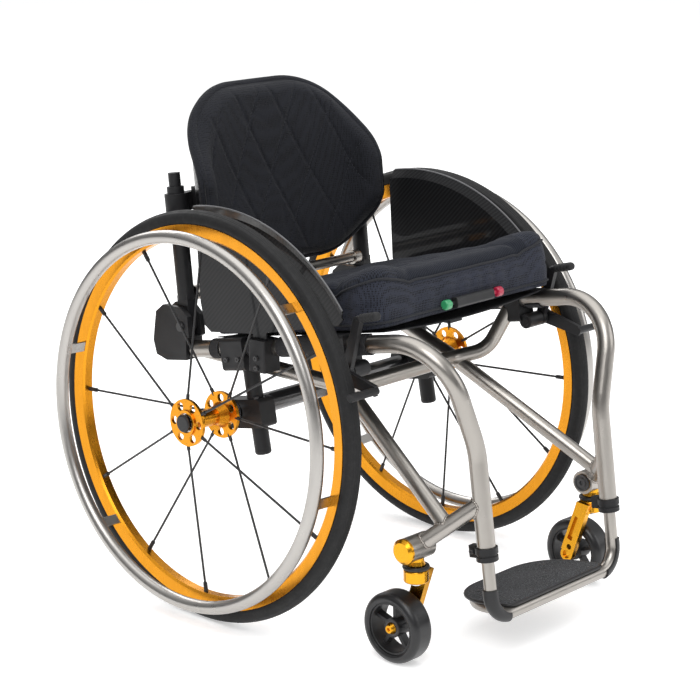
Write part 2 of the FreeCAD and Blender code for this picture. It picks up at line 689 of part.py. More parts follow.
def make_caster_tyre(label, side):
    outline = [
        ("Size.caster_core_radius + 0.02", "-Size.caster_half_width + 2"),
        ("Size.caster_core_radius + 3", "-Size.caster_half_width"),
        ("Size.caster_radius", "-Size.caster_half_width"),
        ("Size.caster_radius", "Size.caster_half_width"),
        ("Size.caster_core_radius + 3", "Size.caster_half_width"),
        ("Size.caster_core_radius + 0.02", "Size.caster_half_width - 2"),
    ]
    place = Placement(caster_start(side, 0), facing(X_AXIS * side))
    tyre = turned("caster_tyre_" + label, outline, place)
    outer = size("caster_radius")
    return body_fillet(tyre, 9.5, lambda edge: hasattr(edge.Curve, "Radius")
                       and abs(edge.Curve.Radius - outer) < 0.01)


# ---------------------------------------------------------------- footrest

def front_tube_point(z, side=LEFT):
    """The point of the front tube's axis line at a height."""
    return mirrored(FRONT_END + FRONT_UP * ((z - FRONT_END.z) / FRONT_UP.z), side)


FOOT_TILT = Rotation(X_AXIS, -size("footplate_tilt"))
LOOP_DEPTH = 98.0


def on_foot(x, back, up):
    """A point in the footplate's tilted frame, whose origin is on the hoop's front cross tube."""
    return front_tube_point(size("footrest_z"), 0) + FOOT_TILT.multVec(Vector(x, back, up))


def make_footrest_tube():
    top, corner = 236.0, size("footrest_z")
    path = [front_tube_point(top, RIGHT), front_tube_point(corner, RIGHT),
            front_tube_point(corner), front_tube_point(top)]
    radius = "Size.footrest_tube_radius"
    pieces = bent_tube("footrest_hoop", path, radius, ["Size.footrest_bend", "Size.footrest_bend"])
    half = size("footplate_half_width") - 12
    loop_corners = ((-half, 0), (-half, LOOP_DEPTH), (half, LOOP_DEPTH), (half, 0))
    loop = [on_foot(x, back, 0) for x, back in loop_corners]
    pieces += bent_tube("footrest_loop", loop, radius + " - 0.5", [56.0, 56.0])
    return fuse("footrest_tube", pieces)


def make_footplate():
    half, depth = "Size.footplate_half_width", "Size.footplate_depth"
    outline = [("-" + half, 0.0), (half, 0.0), (half, depth), ("-" + half, depth)]
    place = Placement(on_foot(0, -6.0, size("footrest_tube_radius") + 0.02), FOOT_TILT)
    deck = plate("footplate", outline, "Size.footplate_thickness", place)
    upright = lambda edge: isinstance(edge.Curve, Part.Line) and abs(edge.Curve.Direction.z) > 0.9
    body_fillet(deck, 66.0, lambda edge: upright(edge) and edge.CenterOfMass.y > 50)
    return body_fillet(deck, 14.0, lambda edge: upright(edge) and edge.CenterOfMass.y < 5)


def make_footrest_clamps():
    clamps = []
    for label, side in SIDES.items():
        foot = mirrored(FRONT_END, side)
        upper = cylinder("clamp_upper", 15.6, 8.5, foot - FRONT_UP * 0.5, FRONT_UP)
        middle = cylinder("clamp_middle", 13.9, 5.0, foot - FRONT_UP * 4.5, FRONT_UP)
        lower = cylinder("clamp_lower", 15.2, 7.0, foot - FRONT_UP * 11.0, FRONT_UP)
        lug = block("clamp_lug", 11.0, 14.0, 17.0,
                    Placement(foot + Vector(0, 19.5, -1.5), facing(FRONT_UP)))
        solid = rounded("clamp_soft", fuse("clamp_solid", [upper, middle, lower, lug]), 1.2,
                        lambda edge: edge.Closed)
        wide = cylinder("clamp_wide_bore", "Size.frame_tube_radius + Size.running", 20.0, foot, FRONT_UP)
        slim = cylinder("clamp_slim_bore", "Size.footrest_tube_radius + Size.running", 30.0,
                        foot - FRONT_UP * 20, FRONT_UP)
        clamps.append(cut("footrest_clamp_" + label, solid, [wide, slim]))
    return group("footrest_clamps", clamps)


def make_footrest_guards():
    """Wear guards that cover the outer half of each bend."""
    guards = []
    corner = size("footrest_z")
    lean = facing(FRONT_UP)
    sideways_edges = edges_along(lean.multVec(Y_AXIS))
    for label, side in SIDES.items():
        across = X_AXIS * side
        elbow = front_tube_point(corner, side)
        path = [front_tube_point(109, side), elbow, elbow - across * 46]
        outside = fuse("guard_outside", bent_tube("wear_" + label, path, 11.0, ["Size.footrest_bend"]))
        long_path = [front_tube_point(113, side), elbow, elbow - across * 50]
        bore = bent_tube("wear_bore_" + label, long_path, "Size.footrest_tube_radius + Size.running",
                         ["Size.footrest_bend"])
        middle = elbow - across * 38 + FRONT_UP * 33
        inner_block = block("wear_inner", 70.0, 40.0, 60.0, Placement(middle, lean))
        inner = rounded("wear_inner_soft", inner_block, size("footrest_bend") - 3,
                        lambda edge: sideways_edges(edge) and edge.CenterOfMass.z < corner + 10
                        and abs(edge.CenterOfMass.x) > 120)
        end = block("wear_end", 60.0, 40.0, 40.0, Placement(elbow - across * 58, lean))
        guards.append(cut("footrest_guard_" + label, outside, bore + [inner, end]))
    return group("footrest_guards", guards)


# ---------------------------------------------------------------- seat

CLAMP_ZONES = [(AXLE_POST_ALONG - 9, 50.0), (155.0, 36.0), (303.0, 32.0)]
CUSHION_REAR = 32.0
CUSHION_BASE = 18.0


def make_seat_sling():
    sheet_up = size("frame_tube_radius") + 1.4
    body = block("sling_sheet", 2 * 186.0, 332.0, 2.4, seat_frame(0, CUSHION_REAR + 166, sheet_up))
    notches = []
    for along, length in CLAMP_ZONES:
        for side in SIDES.values():
            notches.append(block("sling_notch", 60.0, length + 3, 10.0,
                                 seat_frame(side * 188.0, along, sheet_up)))
    return cut("seat_sling", body, notches)


def make_cushion():
    """A wedge, thicker at the front, with rounded corners and upper edges."""
    front = "-Size.cushion_length"
    outline = [(0.0, 0.0), (0.0, "Size.cushion_rear"), (front + " + 90", "Size.cushion_front - 6"),
               (front, "Size.cushion_front"), (front, 0.0)]
    turn = SEAT_TURN.multiply(Rotation(Y_AXIS, Z_AXIS, X_AXIS, "ZXY"))
    corner = on_seat(-size("cushion_half_width"), CUSHION_REAR, CUSHION_BASE)
    cushion = plate("seat_cushion", outline, "2 * Size.cushion_half_width", Placement(corner, turn))
    body_fillet(cushion, 38.0, edges_along(Y_AXIS))
    return body_fillet(cushion, 14.0, lambda edge: edge.CenterOfMass.y > size("cushion_rear") - 1)


def valve_axis(x):
    return on_seat(x, CUSHION_REAR + size("cushion_length") + 7.6, CUSHION_BASE + 12)


def make_valve_body():
    place = Placement(valve_axis(2.0), SEAT_TURN)
    body = block("valve_block", 80.0, 13.0, 15.0, place)
    soft = rounded("valve_soft", body, 4.0, edges_along(X_AXIS))
    bore = cylinder("valve_bore", 2.5 + size("running"), 90.0, valve_axis(-43.0), X_AXIS)
    return cut("cushion_valve_body", soft, [bore])


def make_valve_slide():
    rod = cylinder("valve_rod", 2.5, 108.0, valve_axis(-52.0), X_AXIS)
    knobs = [rounded("valve_knob", cylinder("valve_knob_blank", 7.0, 12.0, valve_axis(x), X_AXIS), 2.5,
                     lambda edge: edge.Closed)
             for x in (-60.0, 52.0)]
    return fuse("cushion_valve_slide", [rod] + knobs)


# ---------------------------------------------------------------- backrest

SHELL_BACK = 25.0
SIDE_CENTRE = -126.0
BACK_FOOT = 67.0
HOOK_X, HOOK_HEIGHT = 134.0, 178.0


def how_far_back(point):
    """A point's distance behind the pivot axis in the backrest's leaning frame."""
    return BACK_TURN.inverted().multVec(point - back_point(0, 0, 0)).y


def shell_volume(name, inset):
    """All that the shell's curve wraps round, drawn in by a distance: one flat arc, one tight one."""
    upward = BACK_TURN.multVec(Z_AXIS)
    margin = 30.0
    arcs = (("Size.shell_back_radius", SHELL_BACK - size("shell_back_radius")),
            ("Size.shell_side_radius", SIDE_CENTRE))
    discs = [cylinder(name + "_disc", "%s - %s" % (radius, inset), size("back_height") + 2 * margin,
                      back_point(0, centre, BACK_FOOT - margin), upward)
             for radius, centre in arcs]
    upright = edges_along(upward)
    return rounded(name, common(name + "_lens", *discs), size("shell_corner") - inset,
                   lambda edge: upright(edge) and how_far_back(edge.CenterOfMass) > -60)


def back_outline(name, inset, front, back):
    """The backrest's rounded front view, carried from front to back through its leaning frame."""
    half = size("back_half_width") - inset
    height = size("back_height") - 2 * inset
    middle = BACK_FOOT + size("back_height") / 2
    body = block(name + "_block", 2 * half, back - front, height, back_frame(0, (front + back) / 2, middle))
    along = BACK_TURN.multVec(Y_AXIS)
    upper = back_point(0, 0, middle).z
    fillets = rounded(name + "_top", body, 135.0,
                      lambda edge: edges_along(along)(edge) and edge.CenterOfMass.z > upper)
    return rounded(name, fillets, 86.0,
                   lambda edge: edges_along(along)(edge) and edge.CenterOfMass.z < upper
                   and edge.Length > back - front - 1)


def make_back_shell():
    inner = shell_volume("shell_inside", size("shell_thickness"))
    wall = cut("shell_wall", shell_volume("shell_outside", 0.0), [inner])
    return common("back_shell", wall, back_outline("shell_view", 0.0, -66.0, 42.0))


def make_back_pad():
    outer = size("shell_thickness") + 0.5
    bowl = shell_volume("pad_inside", outer + size("pad_thickness"))
    padding = cut("pad_layer", shell_volume("pad_outside", outer), [bowl])
    return common("back_pad", padding, back_outline("pad_view", 4.0, -68.0, 42.0))


def make_back_posts():
    posts = []
    for label, side in SIDES.items():
        x = side * size("seat_tube_x")
        upward = BACK_TURN.multVec(Z_AXIS)
        tube = cylinder("cane_tube", "Size.back_post_radius", "Size.back_post_height - 38",
                        back_point(x, 0, 38), upward)
        stub = cylinder("cane_stub", 8.8, 20.0, back_point(x, 0, size("back_post_height")), upward)
        tongue = block("cane_tongue", 16.0, 22.0, 44.0, back_frame(x, 0, 22))
        toe = cylinder("cane_toe", 11.0, 16.0, back_point(x - 8, 0, 0), X_AXIS)
        bore = cylinder("cane_bore", "Size.pivot_radius + Size.running", 30.0, back_point(x - 15, 0, 0),
                        X_AXIS)
        posts.append(cut("back_post_" + label, fuse("cane_solid", [tube, stub, tongue, toe]), [bore]))
    return group("back_posts", posts)


def make_back_rigidizer():
    reach = size("seat_tube_x") - size("back_post_radius") - 0.05
    bar = cylinder("rigidizer_bar", 8.0, 2 * reach, back_point(-reach, -2, 45), X_AXIS)
    ends = [cylinder("rigidizer_end", 11.0, 13.0, back_point(x, -2, 45), X_AXIS)
            for x in (-reach, reach - 13)]
    return fuse("back_rigidizer", [bar] + ends)


def back_block(name, side, across, depth, height):
    """A box in the leaning frame at the mounts' height; across and depth are its limits."""
    middle = back_frame(side * sum(across) / 2, sum(depth) / 2, HOOK_HEIGHT)
    return block(name, across[1] - across[0], depth[1] - depth[0], height, middle)


def make_shell_mounts():
    mounts = []
    upward = BACK_TURN.multVec(Z_AXIS)
    for label, side in SIDES.items():
        arm = back_block("mount_arm", side, (HOOK_X - 12, size("seat_tube_x")), (12.0, 25.5), 26.0)
        shoulder = back_block("mount_shoulder", side, (HOOK_X + 20, size("seat_tube_x")), (4.5, 25.5), 26.0)
        start = back_point(side * size("seat_tube_x"), 0, HOOK_HEIGHT - 15)
        collar = cylinder("mount_collar", 17.0, 30.0, start, upward)
        post = cylinder("mount_post", "Size.back_post_radius + Size.running", 60.0, start - upward * 15,
                        upward)
        head = back_block("mount_slot_head", side, (HOOK_X - 7.2, HOOK_X + 7.2), (16.3, 22.7), 60.0)
        neck = back_block("mount_slot_neck", side, (HOOK_X - 3.2, HOOK_X + 3.2), (5.0, 17.0), 60.0)
        solid = fuse("mount_solid", [arm, shoulder, collar])
        mounts.append(cut("shell_mount_" + label, solid, [post, head, neck]))
    return group("shell_mounts", mounts)


def make_shell_hooks():
    """Feet shaped to the shell's back, each with a headed rib that drops into its mount's slot."""
    hooks = []
    for label, side in SIDES.items():
        foot = back_block("hook_foot", side, (HOOK_X - 16, HOOK_X + 16), (-18.0, 9.5), 40.0)
        seat = cut("hook_seat", foot, [shell_volume("hook_shell", -0.02)])
        neck = back_block("hook_neck", side, (HOOK_X - 3, HOOK_X + 3), (8.5, 17.0), 26.0)
        head = back_block("hook_head", side, (HOOK_X - 7, HOOK_X + 7), (16.5, 22.5), 26.0)
        hooks.append(fuse("shell_hook_" + label, [seat, neck, head]))
    return group("shell_hooks", hooks)


def make_back_hinge_brackets():
    outline = [(87.0, 359.0), (130.0, 353.0), (152.0, 359.0), (158.0, 380.0), (150.0, 424.0),
               (134.0, 436.0), (96.0, 436.0), (82.0, 424.0), (80.0, 394.0), (87.0, 390.0)]
    brackets = []
    for label, side in SIDES.items():
        x = side * size("seat_tube_x")
        cheek = plate("bracket_plate_" + label, outline, 33.0, yz_plate_placement(x - 16.5))
        rear, knee = mirrored(SEAT_REAR, side), mirrored(KNEE, side)
        plug = cylinder("bracket_plug", "Size.frame_tube_radius - Size.frame_tube_wall - 0.1", 39.0,
                        rear + unit(rear - knee) * 3, knee - rear)
        slot = block("bracket_slot", 16.4, 120.0, 90.0, Placement(Vector(x, 120, 438), NO_TURN))
        pin = cylinder("bracket_pin_hole", "Size.pivot_radius + 0.02", 60.0, back_point(x - 30, 0, 0), X_AXIS)
        brackets.append(cut("back_hinge_bracket_" + label, fuse("bracket_solid", [cheek, plug]), [slot, pin]))
    return group("back_hinge_brackets", brackets)


def make_back_pivot_pins():
    pins = []
    for label, side in SIDES.items():
        x = side * size("seat_tube_x")
        shank = cylinder("pivot_shank", "Size.pivot_radius", 37.0, back_point(x - 18.5, 0, 0), X_AXIS)
        head = cylinder("pivot_head", 7.0, 2.5, back_point(x + side * 16.6, 0, 0), X_AXIS * side)
        pins.append(fuse("back_pivot_pin_" + label, [shank, head]))
    return group("back_pivot_pins", pins)


# ---------------------------------------------------------------- side guards

GUARD_START, GUARD_END = 37.0, 100.0
TONGUE_Y = (-83.0, -57.0)


def make_side_guard(label, side):
    x = side * size("guard_x") - (size("guard_thickness") if side < 0 else 0)
    thickness = "Size.guard_thickness"
    disc = cylinder("guard_disc_" + label, "Size.guard_fold_radius + 0.5", thickness,
                    Vector(x, 0, HUB_HEIGHT), X_AXIS)
    tip = math.radians(GUARD_START)
    heel = math.radians(GUARD_END)
    far = size("guard_radius") + 20
    outline = [
        (-far * math.cos(heel), HUB_HEIGHT + far * math.sin(heel)),
        (50.0, 452.0), (43.0, 419.0), (30.0, 410.0), (-64.0, 421.0), (-222.0, 455.0),
        (-far * math.cos(tip), HUB_HEIGHT + far * math.sin(tip)),
        (-far, HUB_HEIGHT + far),
    ]
    panel = common("guard_panel_" + label, disc, plate("guard_view_" + label, outline, thickness,
                                                       yz_plate_placement(x)))
    lip_outline = [
        ("Size.guard_fold_radius", 0.0), ("Size.guard_radius", 8.0),
        ("Size.guard_radius", "8 + Size.guard_thickness"), ("Size.guard_fold_radius", thickness),
    ]
    if side < 0:
        lip_outline = [
            ("Size.guard_fold_radius", 0.0), ("Size.guard_fold_radius", thickness),
            ("Size.guard_radius", "-8 + Size.guard_thickness"), ("Size.guard_radius", -8.0),
        ]
    forward_heel = Vector(0, -math.cos(heel), math.sin(heel))
    turn = Rotation(forward_heel, X_AXIS.cross(forward_heel), X_AXIS, "ZXY")
    lip = turned("guard_lip_" + label, lip_outline, Placement(Vector(x, 0, HUB_HEIGHT), turn),
                 GUARD_END - GUARD_START)
    rear, front = TONGUE_Y[1], TONGUE_Y[0]
    tongue = block("guard_tongue_" + label, thickness, rear - front, 58.0,
                   Placement(Vector(x + size("guard_thickness") / 2, (rear + front) / 2, 403.0), NO_TURN))
    return fuse("side_guard_" + label, [panel, lip, tongue])


def make_guard_receivers():
    receivers = []
    middle = sum(TONGUE_Y) / 2
    for label, side in SIDES.items():
        place = Placement(Vector(side * 199.0, middle, 391.0), NO_TURN)
        body = rounded("receiver_soft", block("receiver_block", 32.0, 32.0, 46.0, place), 3.0,
                       edges_along(Z_AXIS))
        tube = seat_tube_rod("receiver_tube", side, "Size.frame_tube_radius + Size.running")
        slot_x = side * (size("guard_x") + size("guard_thickness") / 2)
        slot = block("receiver_slot", 2.4, 26.6, 60.0, Placement(Vector(slot_x, middle, 403.0), NO_TURN))
        receivers.append(cut("guard_receiver_" + label, body, [tube, slot]))
    return group("guard_receivers", receivers)


# ---------------------------------------------------------------- brakes

BRAKE_ALONG = 303.0
LEVER_SPAN = (206.8, 214.8)
SHOE_SPAN = (219.5, 226.5)


def brake_axis(x):
    return Vector(x, size("brake_pivot_y"), size("brake_pivot_z"))


def make_brake_brackets():
    brackets = []
    for label, side in SIDES.items():
        place = seat_frame(side * (size("seat_tube_x") - 1), BRAKE_ALONG, -8.0)
        body = rounded("brake_clamp_soft", block("brake_clamp_block", 33.0, 28.0, 50.0, place), 6.0,
                       edges_along(SEAT_TURN.multVec(Y_AXIS)))
        tube = seat_tube_rod("brake_clamp_tube", side, "Size.frame_tube_radius + Size.running")
        relief = rod_between("brake_clamp_relief", "Size.lower_tube_radius + 0.4",
                             mirrored(CROSS_PATH[0], side), mirrored(CROSS_PATH[1], side))
        boss = cylinder("brake_boss", 11.0, 30.0, brake_axis(side * 175.0), X_AXIS * side)
        spigot = cylinder("brake_spigot", "Size.spigot_radius", 54.0, brake_axis(side * 174.0), X_AXIS * side)
        clamp = cut("brake_clamp_" + label, fuse("brake_clamp_solid", [body, boss]), [tube, relief])
        brackets.append(fuse("brake_bracket_" + label, [clamp, spigot]))
    return group("brake_brackets", brackets)


def span_start(span, side):
    """Where a plate of a left-hand span starts along +X on the stated side."""
    return side * (span[0] if side > 0 else span[1])


def make_brake_lever(label, side):
    start = span_start(LEVER_SPAN, side)
    width = LEVER_SPAN[1] - LEVER_SPAN[0]
    eye = cylinder("lever_eye", 11.0, width, brake_axis(start), X_AXIS)
    elbow = Vector(0, -22.0, 76.0)
    arm_outline = [(size("brake_pivot_y") + dy, size("brake_pivot_z") + dz)
                   for dy, dz in ((-8.0, 0.0), (7.0, 0.0), (-18.0, 79.0), (-29.0, 73.0))]
    arm = plate("lever_arm_" + label, arm_outline, width, yz_plate_placement(start))
    middle = side * sum(LEVER_SPAN) / 2
    grip_start = brake_axis(middle) + elbow
    grip_line = unit(Vector(0, -1.0, 0.24))
    grip = cylinder("lever_grip", 4.6, 34.0, grip_start, grip_line)
    tip = cone("lever_tip", 4.6, 2.6, 3.0, grip_start + grip_line * 34, grip_line)
    hole = cylinder("lever_bore", "Size.spigot_radius + Size.running", 40.0, brake_axis(start - 10), X_AXIS)
    return cut("brake_lever_" + label, fuse("lever_solid", [eye, arm, grip, tip]), [hole])


def make_brake_shoe(label, side):
    start = span_start(SHOE_SPAN, side)
    width = SHOE_SPAN[1] - SHOE_SPAN[0]
    eye = cylinder("shoe_eye", 11.0, width, brake_axis(start), X_AXIS)
    shoe_y, shoe_z = -62.0, -14.0
    corners = ((-2.0, 10.0), (-2.0, -10.0), (shoe_y - 2, shoe_z - 7), (shoe_y - 2, shoe_z + 7))
    arm_outline = [(size("brake_pivot_y") + dy, size("brake_pivot_z") + dz) for dy, dz in corners]
    arm = plate("shoe_arm_" + label, arm_outline, width, yz_plate_placement(start))
    bar_start = Vector(side * SHOE_SPAN[0], size("brake_pivot_y") + shoe_y, size("brake_pivot_z") + shoe_z)
    bar = cylinder("shoe_bar", "Size.shoe_radius", 52.0, bar_start, X_AXIS * side)
    hole = cylinder("shoe_bore", "Size.spigot_radius + Size.running", 40.0, brake_axis(start - 10), X_AXIS)
    return cut("brake_shoe_" + label, fuse("shoe_solid", [eye, arm, bar]), [hole])


# ---------------------------------------------------------------- fasteners

def screw(place_point, direction):
    """A socket screw with its head proud of the surface at a point."""
    head = cylinder("screw_head", 3.6, 3.0, place_point, direction)
    shank = cylinder("screw_shank", 1.9, 9.0, place_point - unit(direction) * 8, direction)
    socket = cylinder("screw_socket", 1.6, 2.0, place_point + unit(direction) * 1.6, direction)
    return cut("screw", fuse("screw_solid", [head, shank]), [socket])


def flanged_cap(face_point, direction):
    """The broad flanged screw that closes the inboard end of a caster sleeve."""
    disc = cylinder("flange_disc", 12.8, 3.4, face_point, direction)
    shank = cylinder("flange_shank", 3.0, 10.0, face_point - unit(direction) * 9, direction)
    outer = ring("flange_groove", 10.2, 7.4, 2.0, face_point + unit(direction) * 2.2, direction)
    socket = cylinder("flange_socket", 3.2, 3.0, face_point + unit(direction) * 1.4, direction)
    return cut("flanged_cap", fuse("flange_solid", [disc, shank]), [outer, socket])


def make_clamp_screws():
    screws = []
    for side in SIDES.values():
        outward = X_AXIS * side
        middle = sum(TONGUE_Y) / 2
        for z in (374.0, 388.0):
            screws.append(screw(Vector(side * 215.05, middle, z), outward))
        for along in (-12.0, 12.0):
            screws.append(screw(on_seat(side * 206.55, AXLE_POST_ALONG - 9 + along, -14.0), outward))
        for offset in (-10.5, 10.5):
            point = Vector(side * (size("axle_post_x") + offset), -18, CAMBER_TUBE_Z)
            lift = SEAT_TURN.multVec(Vector(0, -29, 21.05))
            screws.append(screw(point + lift, SEAT_TURN.multVec(Z_AXIS)))
        screws.append(screw(mirrored(FRONT_END, side) + outward * 5.55 + Vector(0, 21, -1.5), outward))
        inner = SLEEVE - X_AXIS * (size("sleeve_half_length") + 0.05)
        screws.append(flanged_cap(mirrored(inner, side), outward * -1))
    return group("clamp_screws", screws)


# ---------------------------------------------------------------- build and write

def build_nodes():
    nodes = [
        make_frame(), make_axle_post_clamps(), make_axle_posts(), make_camber_clamps(), make_camber_tube(),
        make_axle_receivers(), make_quick_release_axles(), make_caster_pitch_plugs(),
        make_caster_stem_bolts(), make_guard_receivers(), make_clamp_screws(), make_brake_brackets(),
        make_seat_sling(), make_cushion(), make_valve_body(), make_valve_slide(),
        make_back_hinge_brackets(), make_back_pivot_pins(), make_back_posts(), make_back_rigidizer(),
        make_shell_mounts(), make_shell_hooks(), make_back_shell(), make_back_pad(),
        make_footrest_clamps(), make_footrest_tube(), make_footplate(), make_footrest_guards(),
    ]
    paired = (make_tyre, make_rim, make_hub, make_hub_bearings, make_spokes, make_handrim,
              make_axle_button, make_caster_fork, make_fork_seal, make_caster_axle, make_caster_core,
              make_caster_bearings, make_caster_tyre, make_side_guard, make_brake_lever, make_brake_shoe)
    for label, side in SIDES.items():
        nodes += [make(label, side) for make in paired]
    return nodes


def centre_on_origin(nodes):
    """Move the finished nodes so that the middle of the chair is over the origin."""
    shift = Placement(Vector(0, size("axle_y"), 0), NO_TURN)
    for node in nodes:
        node.Placement = shift.multiply(node.Placement)


def check(nodes):
    """Stop if any object failed or any node's shape can't be written."""
    failed = [obj.Name for obj in doc.Objects if {"Invalid", "Error"} & set(obj.State)]
    if failed:
        raise RuntimeError("failed objects: " + ", ".join(failed))
    for node in nodes:
        if node.Shape.isNull() or not node.Shape.isValid() or not node.Shape.Solids:
            raise RuntimeError("bad shape: " + node.Label)


def write(nodes):
    os.makedirs("parts", exist_ok=True)
    for node in nodes:
        node.Label = node.Name
        node.Shape.exportStep(os.path.join("parts", node.Label + ".step"))


nodes = build_nodes()
doc.recompute()
centre_on_origin(nodes)
doc.recompute()
check(nodes)
write(nodes)
print(len(nodes), "nodes written")
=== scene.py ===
"""The wheelchair as seen: materials on the hard parts, modelled soft parts, light and camera.

Metres, in the chair's frame: +Z up, +X the chair's left, -Y forwards.
"""
import math

import bpy
import numpy as np
from mathutils import Matrix, Vector


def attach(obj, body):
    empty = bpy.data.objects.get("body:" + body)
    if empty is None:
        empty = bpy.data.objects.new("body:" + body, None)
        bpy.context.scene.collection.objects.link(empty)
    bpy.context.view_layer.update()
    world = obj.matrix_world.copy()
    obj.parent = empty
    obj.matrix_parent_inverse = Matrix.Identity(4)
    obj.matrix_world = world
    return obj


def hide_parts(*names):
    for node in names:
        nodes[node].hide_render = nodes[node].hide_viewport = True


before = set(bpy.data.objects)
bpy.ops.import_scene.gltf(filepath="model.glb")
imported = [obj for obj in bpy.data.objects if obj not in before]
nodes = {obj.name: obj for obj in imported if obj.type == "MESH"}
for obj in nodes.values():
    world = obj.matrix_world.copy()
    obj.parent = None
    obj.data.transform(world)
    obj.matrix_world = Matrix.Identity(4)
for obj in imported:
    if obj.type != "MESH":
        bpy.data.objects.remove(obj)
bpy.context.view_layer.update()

MM = 0.001
AXLE_Y = 74 * MM
CAMBER = math.radians(2)
TYRE_RING, TYRE_SECTION = 284.5, 12.5
HUB = Vector((251 * MM, AXLE_Y, (TYRE_RING * math.cos(CAMBER) + TYRE_SECTION) * MM))
FRAME_TUBE, LOWER_TUBE, CASTER_SLEEVE = 12.7, 11.1, 17.3
SEAT_ORIGIN = Vector((0, 84 * MM + AXLE_Y, 373.5 * MM))
SEAT_SLOPE = math.atan2(79.4, 471.7)
BACK_ORIGIN = Vector((0, 97 * MM + AXLE_Y, 408 * MM))
BACK_LEAN = math.radians(5)
SIDES = {"right": -1, "left": 1}


# ---------------------------------------------------------------- node graphs

class Graph:
    """A material's node tree, with short calls for the nodes it is made of."""

    def __init__(self, name):
        self.material = bpy.data.materials.new(name)
        self.material.use_nodes = True
        self.tree = self.material.node_tree
        self.surface = self.tree.nodes["Principled BSDF"]
        self.place = self.node("TexCoord").outputs["Object"]

    def node(self, kind, inputs=None, **settings):
        made = self.tree.nodes.new("ShaderNode" + kind)
        for key, value in settings.items():
            setattr(made, key, value)
        for key, value in (inputs or {}).items():
            self.feed(made.inputs[key], value)
        return made

    def feed(self, socket, value):
        if isinstance(value, bpy.types.NodeSocket):
            self.tree.links.new(value, socket)
        else:
            socket.default_value = value

    def math(self, operation, first, second=0.0, third=0.0):
        made = self.node("Math", {0: first, 1: second, 2: third}, operation=operation)
        return made.outputs[0]

    def stretched(self, x, y, z):
        """The place, scaled differently along each axis."""
        return self.node("Mapping", {"Vector": self.place, "Scale": (x, y, z)}).outputs[0]

    def noise(self, scale, detail=3.0, roughness=0.55, vector=None):
        inputs = {"Vector": vector or self.place, "Scale": scale, "Detail": detail, "Roughness": roughness}
        return self.node("TexNoise", inputs).outputs["Fac"]

    def cells(self, scale, randomness=1.0, vector=None):
        inputs = {"Vector": vector or self.place, "Scale": scale, "Randomness": randomness}
        return self.node("TexVoronoi", inputs, feature="F1").outputs["Distance"]

    def axes(self):
        return self.node("SeparateXYZ", {0: self.place}).outputs

    def spread(self, value, low, high, start=0.0, end=1.0):
        inputs = {"Value": value, "From Min": start, "From Max": end, "To Min": low, "To Max": high}
        return self.node("MapRange", inputs).outputs["Result"]

    def blend(self, factor, first, second):
        made = self.node("Mix", {"Factor": factor}, data_type="RGBA")
        self.feed(made.inputs[6], first)
        self.feed(made.inputs[7], second)
        return made.outputs[2]

    def rounded_normal(self, radius):
        return self.node("Bevel", {"Radius": radius}, samples=4).outputs[0]

    def edges(self, radius):
        """Near 1 on sharp edges and 0 on flat ground."""
        soft = self.rounded_normal(radius)
        hard = self.node("NewGeometry").outputs["Normal"]
        inputs = {0: soft, 1: hard}
        facing = self.node("VectorMath", inputs, operation="DOT_PRODUCT").outputs["Value"]
        return self.spread(facing, 1.0, 0.0, 0.80, 0.99)

    def bump(self, height, strength, distance, normal=None):
        made = self.node("Bump", {"Height": height, "Strength": strength, "Distance": distance})
        if normal is not None:
            self.feed(made.inputs["Normal"], normal)
        return made.outputs[0]

    def finish(self, **inputs):
        for key, value in inputs.items():
            self.feed(self.surface.inputs[key.replace("_", " ")], value)
        return self.material


def rgb(red, green, blue):
    return (red, green, blue, 1.0)


def scaled(color, factor):
    return rgb(*(min(1.0, channel * factor) for channel in color[:3]))


def satin_metal(name, color, roughness, bevel=0.7 * MM, grain=0.10):
    """Bead-blasted or anodised metal: cloudy tone, fine grain, brighter worn edges."""
    g = Graph(name)
    cloud = g.noise(14.0, 4.0)
    fine = g.noise(2600.0, 2.0, 0.7)
    streak = g.noise(90.0, 5.0, 0.6, g.stretched(1.0, 1.0, 0.25))
    tone = g.blend(cloud, scaled(color, 0.93), scaled(color, 1.05))
    worn = g.math("MULTIPLY", g.edges(bevel), g.spread(g.noise(60.0), 0.0, 0.35, 0.40, 0.7))
    tone = g.blend(worn, tone, scaled(color, 1.25))
    rough = g.spread(streak, roughness - 0.04, roughness + 0.05, 0.3, 0.7)
    normal = g.bump(fine, grain, 0.12 * MM, g.rounded_normal(bevel))
    return g.finish(Base_Color=tone, Metallic=1.0, Roughness=rough, Normal=normal)


def black_anodised(name, color=rgb(0.011, 0.011, 0.012), roughness=0.42):
    """Black metal with a grey shine where its edges are worn."""
    g = Graph(name)
    cloud = g.noise(40.0, 4.0)
    tone = g.blend(cloud, scaled(color, 0.7), scaled(color, 1.5))
    worn = g.math("MULTIPLY", g.edges(0.6 * MM), g.spread(g.noise(150.0), 0.0, 0.55, 0.42, 0.7))
    tone = g.blend(worn, tone, rgb(0.09, 0.09, 0.093))
    rough = g.spread(cloud, roughness - 0.08, roughness + 0.12, 0.3, 0.7)
    normal = g.bump(g.noise(1800.0, 2.0), 0.12, 0.1 * MM, g.rounded_normal(0.8 * MM))
    return g.finish(Base_Color=tone, Metallic=0.1, Roughness=rough, Normal=normal, Specular_IOR_Level=0.32)


def moulded_plastic(name, color, roughness=0.38, grain=900.0):
    """Moulded plastic or rubber with a fine grain and slightly paler edges."""
    g = Graph(name)
    tone = g.blend(g.noise(30.0, 3.0), scaled(color, 0.75), scaled(color, 1.35))
    worn = g.math("MULTIPLY", g.edges(0.5 * MM), 0.35)
    tone = g.blend(worn, tone, scaled(color, 2.6))
    rough = g.spread(g.noise(120.0), roughness - 0.06, roughness + 0.1)
    normal = g.bump(g.noise(grain, 2.0), 0.18, 0.15 * MM, g.rounded_normal(0.7 * MM))
    return g.finish(Base_Color=tone, Roughness=rough, Normal=normal, Specular_IOR_Level=0.35)


